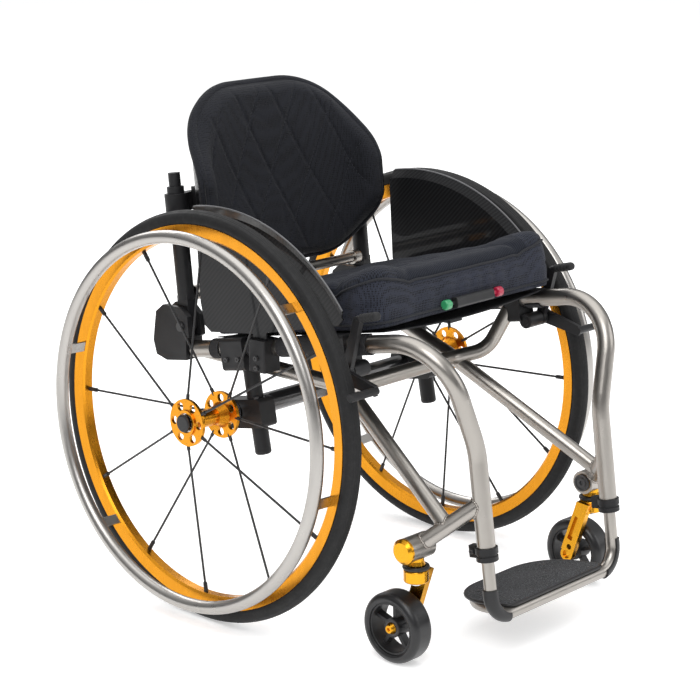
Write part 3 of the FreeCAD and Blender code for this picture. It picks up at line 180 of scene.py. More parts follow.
def carbon_twill(name, across, along):
    """Two-by-two twill under clear resin, laid over the two named axes of the part."""
    g = Graph(name)
    axes = g.axes()
    tow = 1.9 * MM
    u = g.math("DIVIDE", axes[across], tow)
    v = g.math("DIVIDE", axes[along], tow)
    step = g.math("ADD", g.math("FLOOR", u), g.math("FLOOR", v))
    over = g.math("FLOOR", g.math("DIVIDE", g.math("FLOORED_MODULO", step, 4.0), 2.0))
    crown_u = g.math("SINE", g.math("MULTIPLY", g.math("FRACT", u), math.pi))
    crown_v = g.math("SINE", g.math("MULTIPLY", g.math("FRACT", v), math.pi))
    crown = g.node("Mix", {"Factor": over, 2: crown_u, 3: crown_v}).outputs[0]
    tone = g.blend(over, rgb(0.006, 0.006, 0.007), rgb(0.018, 0.0185, 0.020))
    tone = g.blend(g.spread(crown, 0.6, 0.0), tone, rgb(0.003, 0.003, 0.003))
    rough = g.node("Mix", {"Factor": over, 2: 0.34, 3: 0.46}).outputs[0]
    dust = g.spread(g.noise(25.0, 4.0), 0.03, 0.10, 0.4, 0.8)
    return g.finish(Base_Color=tone, Roughness=rough, Coat_Weight=0.5, Coat_Roughness=dust, Coat_IOR=1.3,
                    Specular_IOR_Level=0.15, Normal=g.bump(crown, 0.25, 0.1 * MM))


def gloss_black(name):
    """Lacquered black tube with faint orange peel and dust."""
    g = Graph(name)
    tone = g.blend(g.noise(20.0, 4.0), rgb(0.010, 0.010, 0.011), rgb(0.020, 0.020, 0.022))
    dust = g.spread(g.noise(60.0, 5.0), 0.04, 0.14, 0.35, 0.75)
    return g.finish(Base_Color=tone, Roughness=0.3, Coat_Weight=1.0, Coat_Roughness=dust,
                    Normal=g.bump(g.noise(260.0), 0.06, 0.1 * MM))


def tyre_rubber(name):
    """Matt black rubber with grey scuffs."""
    g = Graph(name)
    tone = g.blend(g.noise(18.0, 5.0), rgb(0.006, 0.006, 0.0065), rgb(0.013, 0.013, 0.0135))
    scuff = g.spread(g.noise(220.0, 4.0), 0.0, 0.5, 0.5, 0.8)
    tone = g.blend(scuff, tone, rgb(0.024, 0.0235, 0.023))
    rough = g.spread(g.noise(90.0), 0.52, 0.78)
    return g.finish(Base_Color=tone, Roughness=rough, Specular_IOR_Level=0.3,
                    Normal=g.bump(g.noise(1100.0, 3.0), 0.3, 0.2 * MM))


def caster_rubber(name):
    """Harder and shinier rubber than the rear tyres'."""
    g = Graph(name)
    tone = g.blend(g.noise(60.0, 4.0), rgb(0.006, 0.006, 0.007), rgb(0.012, 0.012, 0.013))
    rough = g.spread(g.noise(140.0), 0.26, 0.42)
    normal = g.bump(g.noise(900.0, 3.0), 0.15, 0.15 * MM, g.rounded_normal(1.0 * MM))
    return g.finish(Base_Color=tone, Roughness=rough, Normal=normal)


def braided_fibre(name):
    """Black braided jacket of a spoke."""
    g = Graph(name)
    weave = g.cells(900.0)
    tone = g.blend(weave, rgb(0.015, 0.015, 0.016), rgb(0.005, 0.005, 0.006))
    rough = g.spread(g.noise(80.0), 0.35, 0.55)
    return g.finish(Base_Color=tone, Roughness=rough, Normal=g.bump(weave, 0.4, 0.15 * MM))


def ribbed_knit(name):
    """Stretch knit with fine ribs that run front to back."""
    g = Graph(name)
    axes = g.axes()
    pitch = 3.4 * MM
    drift = g.math("MULTIPLY", g.noise(18.0, 2.0), 0.9 * MM)
    across = g.math("DIVIDE", g.math("ADD", axes[0], drift), pitch)
    rib = g.math("ABSOLUTE", g.math("SINE", g.math("MULTIPLY", across, math.pi)))
    loops = g.noise(1500.0, 2.0, 0.7, g.stretched(1.0, 0.45, 1.0))
    tone = g.blend(rib, rgb(0.0035, 0.0042, 0.007), rgb(0.011, 0.0135, 0.022))
    tone = g.blend(g.spread(g.noise(11.0, 4.0), 0.0, 0.5, 0.45, 0.75), tone, rgb(0.017, 0.020, 0.029))
    height = g.math("ADD", g.math("MULTIPLY", rib, 0.7), g.math("MULTIPLY", loops, 0.5))
    return g.finish(Base_Color=tone, Roughness=0.92, Sheen_Weight=0.05, Sheen_Roughness=0.45,
                    Normal=g.bump(height, 0.75, 0.7 * MM), Specular_IOR_Level=0.25)


def spacer_mesh(name, hole, tone_low, tone_high, level=False):
    """Open knitted mesh: rows of small holes with raised yarn between, for upright or level cloth."""
    g = Graph(name)
    holes = g.cells(1.0 / hole, randomness=0.22, vector=g.stretched(1.0, 1.0, 0.0) if level else None)
    yarn = g.spread(holes, 0.0, 1.0, 0.18, 0.52)
    fluff = g.noise(2400.0, 2.0)
    tone = g.blend(yarn, tone_low, tone_high)
    tone = g.blend(g.spread(g.noise(9.0, 4.0), 0.0, 0.4, 0.45, 0.75), tone, scaled(tone_high, 1.5))
    height = g.math("ADD", yarn, g.math("MULTIPLY", fluff, 0.25))
    return g.finish(Base_Color=tone, Roughness=0.9, Sheen_Weight=0.04, Sheen_Roughness=0.5,
                    Normal=g.bump(height, 0.8, 0.8 * MM), Specular_IOR_Level=0.25)


def woven_webbing(name, color):
    """Plain weave with threads across and along the chair."""
    g = Graph(name)
    axes = g.axes()
    turns = 2 * math.pi / (1.6 * MM)
    warp = g.math("SINE", g.math("MULTIPLY", axes[0], turns))
    weft = g.math("SINE", g.math("MULTIPLY", axes[1], turns))
    weave = g.math("MULTIPLY", warp, weft)
    tone = g.blend(g.spread(weave, 0.0, 1.0, -1.0, 1.0), scaled(color, 0.5), scaled(color, 1.5))
    return g.finish(Base_Color=tone, Roughness=0.85, Sheen_Weight=0.04,
                    Normal=g.bump(weave, 0.5, 0.4 * MM), Specular_IOR_Level=0.3)


def grit_tape(name):
    """Black anti-slip sheet with pale mineral flecks."""
    g = Graph(name)
    grit = g.cells(520.0)
    fleck = g.spread(g.noise(700.0, 3.0), 0.0, 1.0, 0.5, 0.7)
    tone = g.blend(fleck, rgb(0.016, 0.017, 0.019), rgb(0.16, 0.165, 0.175))
    tone = g.blend(g.spread(g.noise(16.0, 4.0), 0.0, 0.35, 0.4, 0.8), tone, rgb(0.075, 0.075, 0.08))
    return g.finish(Base_Color=tone, Roughness=0.88, Normal=g.bump(grit, 0.8, 0.8 * MM))


def valve_knob(name):
    """Green on the chair's right and red on its left."""
    g = Graph(name)
    across = g.axes()[0]
    left = g.math("GREATER_THAN", across, 30 * MM)
    right = g.math("LESS_THAN", across, -44 * MM)
    tone = g.blend(right, rgb(0.012, 0.012, 0.013), rgb(0.035, 0.33, 0.13))
    tone = g.blend(left, tone, rgb(0.42, 0.008, 0.045))
    tone = g.blend(g.spread(g.noise(250.0), 0.0, 0.3), tone, rgb(0.02, 0.02, 0.02))
    return g.finish(Base_Color=tone, Roughness=0.35, Coat_Weight=0.4,
                    Normal=g.bump(g.noise(700.0), 0.1, 0.1 * MM))


TITANIUM = satin_metal("satin_titanium", rgb(0.345, 0.325, 0.30), 0.31, grain=0.16)
HANDRIM = satin_metal("handrim_titanium", rgb(0.40, 0.385, 0.365), 0.30, grain=0.12)
RIM_GOLD = satin_metal("rim_gold", rgb(0.66, 0.27, 0.018), 0.27, 0.4 * MM, 0.04)
CASTER_GOLD = satin_metal("caster_gold", rgb(0.72, 0.34, 0.022), 0.25, 0.7 * MM, 0.05)
STEEL = satin_metal("bearing_steel", rgb(0.62, 0.62, 0.63), 0.22, 0.4 * MM, 0.04)
BLACK_METAL = black_anodised("black_anodised")
SOCKET_STEEL = black_anodised("socket_screw_black", rgb(0.05, 0.05, 0.052), 0.32)
BLACK_PLASTIC = moulded_plastic("black_plastic", rgb(0.016, 0.016, 0.017))
# pale grey for the strips on the side guards' tops: a painted highlight of their edges
GUARD_HIGHLIGHT = moulded_plastic("painted_guard_highlight", rgb(0.13, 0.13, 0.135), 0.3)
GRIP_RUBBER = moulded_plastic("grip_rubber", rgb(0.014, 0.014, 0.015), 0.62, 1400.0)
CARBON_SIDE = carbon_twill("carbon_side", 1, 2)
CARBON_BACK = carbon_twill("carbon_back", 0, 2)
GLOSS_TUBE = gloss_black("gloss_black_tube")
TYRE = tyre_rubber("tyre_rubber")
CASTER_TYRE = caster_rubber("caster_rubber")
FIBRE = braided_fibre("braided_fibre")
KNIT = ribbed_knit("ribbed_knit")
MESH_HOLE = rgb(0.0022, 0.0025, 0.004)
SIDE_MESH = spacer_mesh("side_mesh", 3.0 * MM, MESH_HOLE, rgb(0.024, 0.027, 0.040))
CORNER_MESH = spacer_mesh("corner_mesh", 3.0 * MM, MESH_HOLE, rgb(0.020, 0.023, 0.034), level=True)
BACK_MESH = spacer_mesh("back_mesh", 2.8 * MM, rgb(0.0028, 0.0030, 0.0042), rgb(0.0125, 0.0135, 0.018))
BINDING = woven_webbing("binding_tape", rgb(0.016, 0.017, 0.021))
WEBBING = woven_webbing("nylon_webbing", rgb(0.020, 0.020, 0.022))
THREAD = moulded_plastic("thread", rgb(0.020, 0.021, 0.026), 0.7)
GRIT = grit_tape("footplate_grit")
KNOB = valve_knob("valve_knob")
WELD = satin_metal("weld_titanium", rgb(0.32, 0.295, 0.27), 0.30, 0.5 * MM, 0.2)


# ---------------------------------------------------------------- finishes of the hard parts

def both(*stems):
    """The names of the right and left pieces."""
    return [stem + side for stem in stems for side in SIDES]


FINISHES = (
    (TITANIUM, ["welded_frame", "footrest_tube", "back_rigidizer"]),
    (HANDRIM, both("handrim_")),
    (RIM_GOLD, both("wheel_rim_", "wheel_hub_")),
    (CASTER_GOLD, ["caster_pitch_plugs"] + both("caster_fork_", "caster_axle_")),
    (STEEL, ["axle_receivers", "quick_release_axles", "caster_stem_bolts"] + both("hub_bearings_")),
    (BLACK_METAL, ["axle_post_clamps", "axle_posts", "camber_clamps", "guard_receivers", "brake_brackets",
                   "back_hinge_brackets", "back_posts", "shell_mounts", "footrest_clamps"]
     + both("brake_lever_", "brake_shoe_")),
    (SOCKET_STEEL, ["clamp_screws", "back_pivot_pins"] + both("caster_bearings_")),
    (BLACK_PLASTIC, ["cushion_valve_body", "footrest_guards", "shell_hooks"]
     + both("axle_button_", "caster_core_", "fork_seal_")),
    (CARBON_SIDE, both("side_guard_")),
    (CARBON_BACK, ["back_shell"]),
    (GLOSS_TUBE, ["camber_tube"]),
    (CASTER_TYRE, both("caster_tyre_")),
    (FIBRE, both("wheel_spokes_")),
    (GRIT, ["footplate"]),
    (KNOB, ["cushion_valve_slide"]),
)


def paint(thing, material):
    thing.data.materials.clear()
    thing.data.materials.append(material)


for material, names in FINISHES:
    for name in names:
        paint(nodes[name], material)


# ---------------------------------------------------------------- mesh helpers

def seat_point(x, along, up):
    """Millimetres forwards along the seat tubes and square up from them."""
    sine, cosine = math.sin(SEAT_SLOPE), math.cos(SEAT_SLOPE)
    return SEAT_ORIGIN + Vector((x, up * sine - along * cosine, along * sine + up * cosine)) * MM


def back_point(x, back, up):
    """Millimetres backwards and up in the leaning backrest's frame."""
    sine, cosine = math.sin(BACK_LEAN), math.cos(BACK_LEAN)
    return BACK_ORIGIN + Vector((x, back * cosine + up * sine, up * cosine - back * sine)) * MM


def axle_point(x, y, z):
    """Millimetres, with y measured from the rear axle."""
    return Vector((x, y, z)) * MM + Vector((0, AXLE_Y, 0))


def add_mesh(name, vertices, faces, material, body):
    """A smooth mesh object that rides on a body of the part."""
    mesh = bpy.data.meshes.new(name)
    mesh.from_pydata([tuple(vertex) for vertex in vertices], [], faces)
    mesh.validate()
    mesh.shade_smooth()
    made = bpy.data.objects.new(name, mesh)
    bpy.context.scene.collection.objects.link(made)
    paint(made, material)
    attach(made, body)
    return made


def grid_faces(rows, columns, closed_rows, closed_columns):
    """Quads of a grid of vertices numbered row by row."""
    faces = []
    for row in range(rows if closed_rows else rows - 1):
        below = (row + 1) % rows
        for column in range(columns if closed_columns else columns - 1):
            after = (column + 1) % columns
            faces.append((row * columns + column, row * columns + after,
                          below * columns + after, below * columns + column))
    return faces


def tube_along(path, radius, closed, sides=10, flat=1.0):
    """Vertices and faces of a round cord along a path; radius may be one number or one per point."""
    points = np.array([tuple(point) for point in path], float)
    count = len(points)
    radii = np.broadcast_to(np.asarray(radius, float), (count,))
    if closed:
        tangents = np.roll(points, -1, 0) - np.roll(points, 1, 0)
    else:
        tangents = np.gradient(points, axis=0)
    tangents /= np.linalg.norm(tangents, axis=1)[:, None]
    across = np.cross(tangents[0], (0.31, 0.17, 0.93))
    vertices = []
    for index in range(count):
        across = across - tangents[index] * across.dot(tangents[index])
        across /= np.linalg.norm(across)
        other = np.cross(tangents[index], across)
        for side in range(sides):
            angle = 2 * math.pi * side / sides
            offset = across * math.cos(angle) + other * math.sin(angle) * flat
            vertices.append(points[index] + offset * radii[index])
    faces = grid_faces(count, sides, closed, True)
    if not closed:
        faces.append(tuple(range(sides)))
        faces.append(tuple((count - 1) * sides + side for side in reversed(range(sides))))
    return vertices, faces


def joined(parts):
    """One vertex and face list from several."""
    vertices, faces = [], []
    for some_vertices, some_faces in parts:
        start = len(vertices)
        vertices += list(some_vertices)
        faces += [tuple(index + start for index in face) for face in some_faces]
    return vertices, faces


def turned(profile, origin, axis, segments=48):
    """A closed profile of (radius, height) points in millimetres, turned about an axis."""
    axis = Vector(axis).normalized()
    side = axis.orthogonal().normalized()
    other = axis.cross(side)
    vertices = []
    for step in range(segments):
        angle = 2 * math.pi * step / segments
        outward = side * math.cos(angle) + other * math.sin(angle)
        for radius, height in profile:
            vertices.append(origin + (outward * radius + axis * height) * MM)
    return vertices, grid_faces(segments, len(profile), True, True)


# ---------------------------------------------------------------- rear tyres

def wheel_axis(side):
    return Vector((side * math.cos(CAMBER), 0, math.sin(CAMBER)))


TREAD_GROOVES = (-6.6, -3.9, -1.3, 1.3, 3.9, 6.6)
TYRE_BEAD, TYRE_BEAD_HALF = 272.2, 6.0


def make_tyre(label, side):
    """A road tyre with six shallow tread grooves, seated between the rim's edges."""
    profile = []
    for step in range(97):
        angle = math.radians(-146 + 292 * step / 96)
        height, radius = TYRE_SECTION * math.sin(angle), TYRE_SECTION * math.cos(angle)
        groove = shoulder = 0.0
        if radius > 0:
            groove = sum(0.7 * math.exp(-((height - middle) / 0.42) ** 2) for middle in TREAD_GROOVES)
            shoulder = 0.35 * math.exp(-((abs(height) - 9.6) / 0.5) ** 2)
        profile.append((TYRE_RING + radius - groove + shoulder, height))
    profile += [(TYRE_BEAD, TYRE_BEAD_HALF), (TYRE_BEAD, -TYRE_BEAD_HALF)]
    hub = Vector((side * HUB.x, HUB.y, HUB.z))
    vertices, faces = turned(profile, hub, wheel_axis(side), 360)
    tyre = add_mesh("road_tyre_" + label, vertices, faces, TYRE, "wheel_" + label)
    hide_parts("wheel_tyre_" + label)


for label, side in SIDES.items():
    make_tyre(label, side)


# ---------------------------------------------------------------- soft outlines

def rounded_distance(x, y, half_x, half_y, radius):
    """Distance inside a rounded rectangle's edge, positive inside."""
    qx, qy = np.abs(x) - half_x + radius, np.abs(y) - half_y + radius
    outside = np.hypot(np.maximum(qx, 0), np.maximum(qy, 0))
    return radius - outside - np.minimum(np.maximum(qx, qy), 0)


def edge_reach(angles, distance_inside):
    """How far the outline is from its middle in each direction."""
    farthest, halvings = 400.0, 40
    near, far = np.zeros_like(angles), np.full_like(angles, farthest)
    for _ in range(halvings):
        middle = (near + far) / 2
        inside = distance_inside(middle * np.cos(angles), middle * np.sin(angles)) > 0
        near, far = np.where(inside, middle, near), np.where(inside, far, middle)
    return near


def ring_faces(rings, columns):
    """Quads between rings, with a fan to the first and the last vertex."""
    faces = []
    for column in range(columns):
        faces.append((0, 1 + column, 1 + (column + 1) % columns))
    for ring in range(rings - 1):
        start = 1 + ring * columns
        for column in range(columns):
            after = (column + 1) % columns
            faces.append((start + column, start + columns + column, start + columns + after, start + after))
    start, last = 1 + (rings - 1) * columns, 1 + rings * columns
    for column in range(columns):
        faces.append((start + column, last, start + (column + 1) % columns))
    return faces


# ---------------------------------------------------------------- seat cushion

CUSHION_HALF, CUSHION_LENGTH, CUSHION_CORNER = 187.0, 338.0, 40.0
CUSHION_BACK, CUSHION_BASE = 32.0, 18.2
CUSHION_MIDDLE = CUSHION_BACK + CUSHION_LENGTH / 2
CUSHION_WEDGE = ((32.0, 280.0, 370.0), (54.0, 69.0, 75.0))
CUSHION_FLAT, CUSHION_ROUNDING, CUSHION_SKIRT = 0.90, 15.0, 2.0


def cushion_inside(x, y):
    return rounded_distance(x, y, CUSHION_HALF, CUSHION_LENGTH / 2, CUSHION_CORNER)


def front_corner(x, y):
    """Near 1 at the cushion's two front corners and 0 elsewhere."""
    front = y + CUSHION_LENGTH / 2
    return np.exp(-((np.abs(x) - 178.0) / 46.0) ** 2 - ((front - 8.0) / 52.0) ** 2)


def puffed(points):
    """The cover's points, with both front corners stuffed out sideways and forwards."""
    weight = front_corner(points[:, 0], points[:, 1])
    shift = np.stack([9.0 * np.sign(points[:, 0]), np.full(len(points), -6.0), np.zeros(len(points))], 1)
    return points + shift * weight[:, None]


def creases(x, y, seed, count, length, depth):
    """The depth of short soft folds scattered over a cloth surface."""
    local = np.random.default_rng(seed)
    total = np.zeros_like(x)
    for _ in range(count):
        cx, cy = local.uniform(-150, 150), local.uniform(-140, 140)
        turn = local.normal(0.0, 0.5)
        along = (x - cx) * math.sin(turn) + (y - cy) * math.cos(turn)
        across = (x - cx) * math.cos(turn) - (y - cy) * math.sin(turn)
        reach = length * local.uniform(0.6, 1.4)
        bend = across - along ** 2 / (reach * 9)
        total += depth * local.uniform(0.5, 1.0) * np.exp(-(bend / 5.0) ** 2 - (along / reach) ** 2)
    return total


def cushion_top(x, y):
    """Height of the cover: crowned air cells, a dip for the seat and a raised front."""
    inside = cushion_inside(x, y)
    crown = 7.0 * (1 - np.exp(-np.maximum(inside, 0) / 45.0))
    cells = 1.5 * np.cos(2 * math.pi * x / 62.0) * np.cos(2 * math.pi * y / 66.0)
    cells = cells * (1 - np.exp(-np.maximum(inside, 0) / 30.0))
    dip = -6.0 * np.exp(-(x / 120.0) ** 2 - ((y - 40.0) / 95.0) ** 2)
    folds = -creases(x, y, 11, 26, 42.0, 1.6)
    front = y + CUSHION_LENGTH / 2
    corners = 13.0 * np.exp(-((np.abs(x) - 155.0) / 40.0) ** 2 - ((front - 22.0) / 46.0) ** 2)
    fold = -4.0 * np.exp(-((front - 70.0 + 0.05 * x) / 7.0) ** 2)
    fold = fold - 3.0 * np.exp(-((np.abs(x) - 108.0 + 0.2 * front) / 6.0) ** 2 - (front / 75.0) ** 2)
    wedge = np.interp(CUSHION_MIDDLE - y, *CUSHION_WEDGE)
    return wedge - 5.0 + crown + cells + dip + folds + corners + fold


def make_cushion():
    """The cover, ring by ring: out over its top, round the upper edge, down the side and in underneath."""
    columns = 520
    angles = np.linspace(0, 2 * math.pi, columns, endpoint=False)
    cosine, sine = np.cos(angles), np.sin(angles)
    reach = edge_reach(angles, cushion_inside)
    rings = [("top", step / 80 * CUSHION_FLAT) for step in range(1, 81)]
    rings += [("edge", step / 18) for step in range(1, 19)]
    rings += [("side", step / 24) for step in range(1, 25)]
    rings += [("base", 1 - step / 13) for step in range(1, 13)]
    brim = cushion_top(reach * CUSHION_FLAT * cosine, reach * CUSHION_FLAT * sine)
    points = []
    for kind, amount in rings:
        if kind == "top":
            scale = amount
            height = cushion_top(reach * scale * cosine, reach * scale * sine)
        elif kind == "edge":
            lean = amount * math.pi / 2
            scale = CUSHION_FLAT + (1 - CUSHION_FLAT) * math.sin(lean)
            height = brim - CUSHION_ROUNDING * (1 - math.cos(lean)) ** 1.15
        elif kind == "side":
            top = brim - CUSHION_ROUNDING
            ripple = 0.8 * np.sin(angles * 37 + 2.0 * np.sin(angles * 5))
            bulge = (4.0 + ripple) * math.sin(math.pi * amount)
            seam = -1.6 * math.exp(-((amount - 0.52) / 0.035) ** 2)
            scale = 1 + (bulge + seam) / reach
            height = top + (CUSHION_SKIRT - top) * amount
        else:
            scale = amount * 0.985
            height = np.full(columns, CUSHION_SKIRT - CUSHION_SKIRT * (1 - amount) ** 0.3)
        points.append(np.stack([reach * scale * cosine, reach * scale * sine, height], 1))
    first = np.array([[0.0, 0.0, float(cushion_top(np.zeros(1), np.zeros(1))[0])]])
    last = np.array([[0.0, 0.0, 0.0]])
    local = puffed(np.concatenate([first] + points + [last]))
    vertices = [seat_point(x, CUSHION_MIDDLE - y, CUSHION_BASE + z) for x, y, z in local]
    faces = ring_faces(len(rings), columns)
    cover = add_mesh("cushion_cover", vertices, faces, KNIT, "chair")
    cover.data.materials.append(SIDE_MESH)
    cover.data.materials.append(CORNER_MESH)
    side_slot, corner_slot = 1, 2
    first_side = 1 + columns * [kind for kind, _ in rings].index("side")
    patch = front_corner(local[:, 0], local[:, 1]) > 0.42
    for polygon in cover.data.polygons:
        if min(polygon.vertices) >= first_side:
            polygon.material_index = side_slot
        elif patch[list(polygon.vertices)].all():
            polygon.material_index = corner_slot
    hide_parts("seat_cushion")
    return angles, reach


def make_cushion_welts(angles, reach):
    """Piping sewn into the cover's upper edge and the zip tape round its lower edge."""
    cosine, sine = np.cos(angles), np.sin(angles)
    upper = cushion_top(reach * CUSHION_FLAT * cosine, reach * CUSHION_FLAT * sine) - 16.5
    lower = np.full_like(upper, 9.0)
    parts = []
    for height, radius, out in ((upper, 1.9, 1.2), (lower, 1.6, 2.2)):
        scale = 1 + out / reach
        ring = puffed(np.stack([reach * scale * cosine, reach * scale * sine, height], 1))
        path = [seat_point(x, CUSHION_MIDDLE - y, CUSHION_BASE + z) for x, y, z in ring]
        parts.append(tube_along(path, radius * MM, True, 8))
    vertices, faces = joined(parts)
    add_mesh("cushion_piping", vertices, faces, BINDING, "chair")


cushion_angles, cushion_reach = make_cushion()
make_cushion_welts(cushion_angles, cushion_reach)


# ---------------------------------------------------------------- seat sling

SLING_HALF, SLING_START, SLING_END = 171.0, 32.0, 364.0
SLING_TOP, SLING_UNDER, SLING_SAG = 14.6, 12.9, 9.0
SEAT_TUBE_X, SEAT_TUBE_TAPER = 188.5, 2.2 / 478.0
STRAPS = ((44.0, 62.0), (122.0, 134.0), (182.0, 268.0), (326.0, 352.0))


def strap(side, start, end):
    """One band from the cloth's edge over, round and back under its seat tube."""
    inner, outer = FRAME_TUBE + 0.35, FRAME_TUBE + 2.1
    section = []
    for radius, steps in ((outer, range(25)), (inner, range(24, -1, -1))):
        for step in steps:
            angle = math.radians(112 - 262 * step / 24)
            section.append((radius * math.cos(angle), radius * math.sin(angle)))
    rows, around = 8, len(section)
    vertices = []
    for row in range(rows):
        along = start + (end - start) * row / (rows - 1)
        x = SEAT_TUBE_X - SEAT_TUBE_TAPER * along
        for across, up in section:
            vertices.append(seat_point(side * (x + across), along, up))
    faces = grid_faces(rows, around, False, True)
    faces.append(tuple(range(around)))
    faces.append(tuple((rows - 1) * around + index for index in reversed(range(around))))
    if side > 0:
        faces = [tuple(reversed(face)) for face in faces]
    return vertices, faces


def make_sling():
    """Cloth stretched over the seat tubes, with bands that wrap round them between the clamps."""
    rows, columns = 48, 64
    upper, lower = [], []
    for row in range(rows):
        along = SLING_START + (SLING_END - SLING_START) * row / (rows - 1)
        for column in range(columns):
            across = -1 + 2 * column / (columns - 1)
            sag = (0.5 * math.sin(along / 7.0) - SLING_SAG) * (1 - across ** 2)
            upper.append(seat_point(SLING_HALF * across, along, SLING_TOP + sag))
            lower.append(seat_point(SLING_HALF * across, along, SLING_UNDER + sag))
    count = rows * columns
    faces = grid_faces(rows, columns, False, False)
    faces += [tuple(index + count for index in reversed(face)) for face in faces]
    border = list(range(columns))
    border += [row * columns + columns - 1 for row in range(1, rows)]
    border += [(rows - 1) * columns + column for column in range(columns - 2, -1, -1)]
    border += [row * columns for row in range(rows - 2, 0, -1)]
    for index, here in enumerate(border):
        after = border[(index + 1) % len(border)]
        faces.append((after, here, here + count, after + count))
    parts = [(upper + lower, faces)]
    parts += [strap(side, start, end) for start, end in STRAPS for side in SIDES.values()]
    vertices, all_faces = joined(parts)
    sling = add_mesh("sling_cloth", vertices, all_faces, WEBBING, "chair")
    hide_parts("seat_sling")


make_sling()


# ---------------------------------------------------------------- backrest pad

PAD_HALF, PAD_LOW, PAD_HIGH = 188.5, 63.0, 335.5
PAD_MIDDLE = (PAD_LOW + PAD_HIGH) / 2
PAD_TOP_CORNER, PAD_LOW_CORNER = 137.0, 89.0
PAD_GAP = 3.0
DIAMOND_ACROSS, DIAMOND_UP = 82.0, 150.0
BACK_ARC, SIDE_ARC, CORNER_ARC = (-395.0, 420.0), (-126.0, 200.0), 70.0


def plan_arcs():
    """The shell's plan on one side: centre across, centre back, radius and first angle of each arc."""
    (back_centre, back_radius), (side_centre, side_radius) = BACK_ARC, SIDE_ARC
    to_back, to_side = back_radius - CORNER_ARC, side_radius - CORNER_ARC
    spacing = side_centre - back_centre
    beyond = (to_back ** 2 - to_side ** 2 - spacing ** 2) / (2 * spacing)
    corner_x = math.sqrt(to_side ** 2 - beyond ** 2)
    first = math.atan2(corner_x, spacing + beyond)
    second = math.atan2(corner_x, beyond)
    return ((0.0, back_centre, back_radius, 0.0),
            (corner_x, side_centre + beyond, CORNER_ARC, first),
            (0.0, side_centre, side_radius, second))


PLAN = plan_arcs()


def plan_angle(x):
    """The direction the shell's back faces, from straight back, at a distance across its front view."""
    across = np.abs(x)
    angle = np.zeros_like(across)
    for centre_x, _, radius, first in PLAN:
        here = np.arcsin(np.clip((across - centre_x) / radius, -1.0, 1.0))
        angle = np.where(across >= centre_x + radius * math.sin(first), here, angle)
    return angle


def pad_inside(x, y):
    radius = np.where(np.asarray(y) > 0, PAD_TOP_CORNER, PAD_LOW_CORNER)
    return rounded_distance(x, y, PAD_HALF, (PAD_HIGH - PAD_LOW) / 2, radius)


def edge_distance(x, y):
    """Distance to the pad's edge along its curved face."""
    across = (pad_inside(x + 0.5, y) - pad_inside(x - 0.5, y)) / np.cos(plan_angle(x))
    up = pad_inside(x, y + 0.5) - pad_inside(x, y - 0.5)
    return np.maximum(pad_inside(x, y), 0) * np.maximum(np.hypot(across, up), 1.0)


def stitch_gap(x, y):
    """Distance from the nearest of the two families of slanting seams, in millimetres."""
    slope = math.hypot(1 / DIAMOND_ACROSS, 1 / DIAMOND_UP)
    gaps = []
    for direction in (-1, 1):
        phase = x / DIAMOND_ACROSS + direction * y / DIAMOND_UP
        gaps.append(np.abs(phase - np.round(phase)) / slope)
    return np.minimum(*gaps)


def pad_thickness(x, y):
    """Depth of the foam: full in the middle, thinner at the wings, pinched along the seams."""
    inside = edge_distance(x, y)
    base = 23.0 + 6.0 * np.exp(-(x / 120.0) ** 2) + 4.0 * np.exp(-((y + 75.0) / 55.0) ** 2)
    rounding = np.minimum(inside / 20.0, 1.0)
    round_edge = np.sqrt(np.maximum(1 - (1 - rounding) ** 2, 0))
    pinch = 1.7 * np.exp(-(stitch_gap(x, y) / 3.4) ** 2) * rounding
    folds = creases(x, y, 5, 14, 38.0, 0.9) * rounding
    return base * round_edge - pinch - folds


def pad_surface(x, y, depth):
    """A point a stated depth in front of the shell, by its place in the shell's front view."""
    angle = float(plan_angle(np.array(x, float)))
    centre_x, centre_back, shell_radius, _ = [arc for arc in PLAN if angle >= arc[3]][-1]
    radius = shell_radius - PAD_GAP - depth
    across = math.copysign(centre_x + radius * math.sin(angle), x)
    return back_point(across, centre_back + radius * math.cos(angle), PAD_MIDDLE + y)


def make_back_pad():
    """The pad and the wrap sewn round its edge."""
    columns = 560
    angles = np.linspace(0, 2 * math.pi, columns, endpoint=False)
    reach = edge_reach(angles, pad_inside)
    cosine, sine = np.cos(angles), np.sin(angles)
    fronts = [1 - (1 - step / 120) ** 1.35 for step in range(1, 121)]
    backs = [1 - step / 16 for step in range(1, 16)]
    middle_depth = float(pad_thickness(np.zeros(1), np.zeros(1))[0])
    vertices = [pad_surface(0, 0, middle_depth)]
    for scale in fronts:
        x, y = reach * scale * cosine, reach * scale * sine
        depth = pad_thickness(x, y)
        vertices += [pad_surface(*place) for place in zip(x, y, depth)]
    for scale in backs:
        x, y = reach * scale * cosine, reach * scale * sine
        vertices += [pad_surface(a, b, 0.0) for a, b in zip(x, y)]
    vertices.append(pad_surface(0, 0, 0.0))
    faces = ring_faces(len(fronts) + len(backs), columns)
    pad = add_mesh("back_cushion", vertices, faces, BACK_MESH, "shell")
    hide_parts("back_pad")
    rim_scale, rim_depth, rim_radius = 0.988, 0.6, 7.6
    rim = [pad_surface(x, y, rim_depth)
           for x, y in zip(reach * rim_scale * cosine, reach * rim_scale * sine)]
    vertices, faces = tube_along(rim, rim_radius * MM, True, 14)
    add_mesh("back_cushion_wrap", vertices, faces, BACK_MESH, "shell")


STITCH_PITCH, STITCH_HALF, STITCH_MARGIN = 5.2, 1.7, 16.0


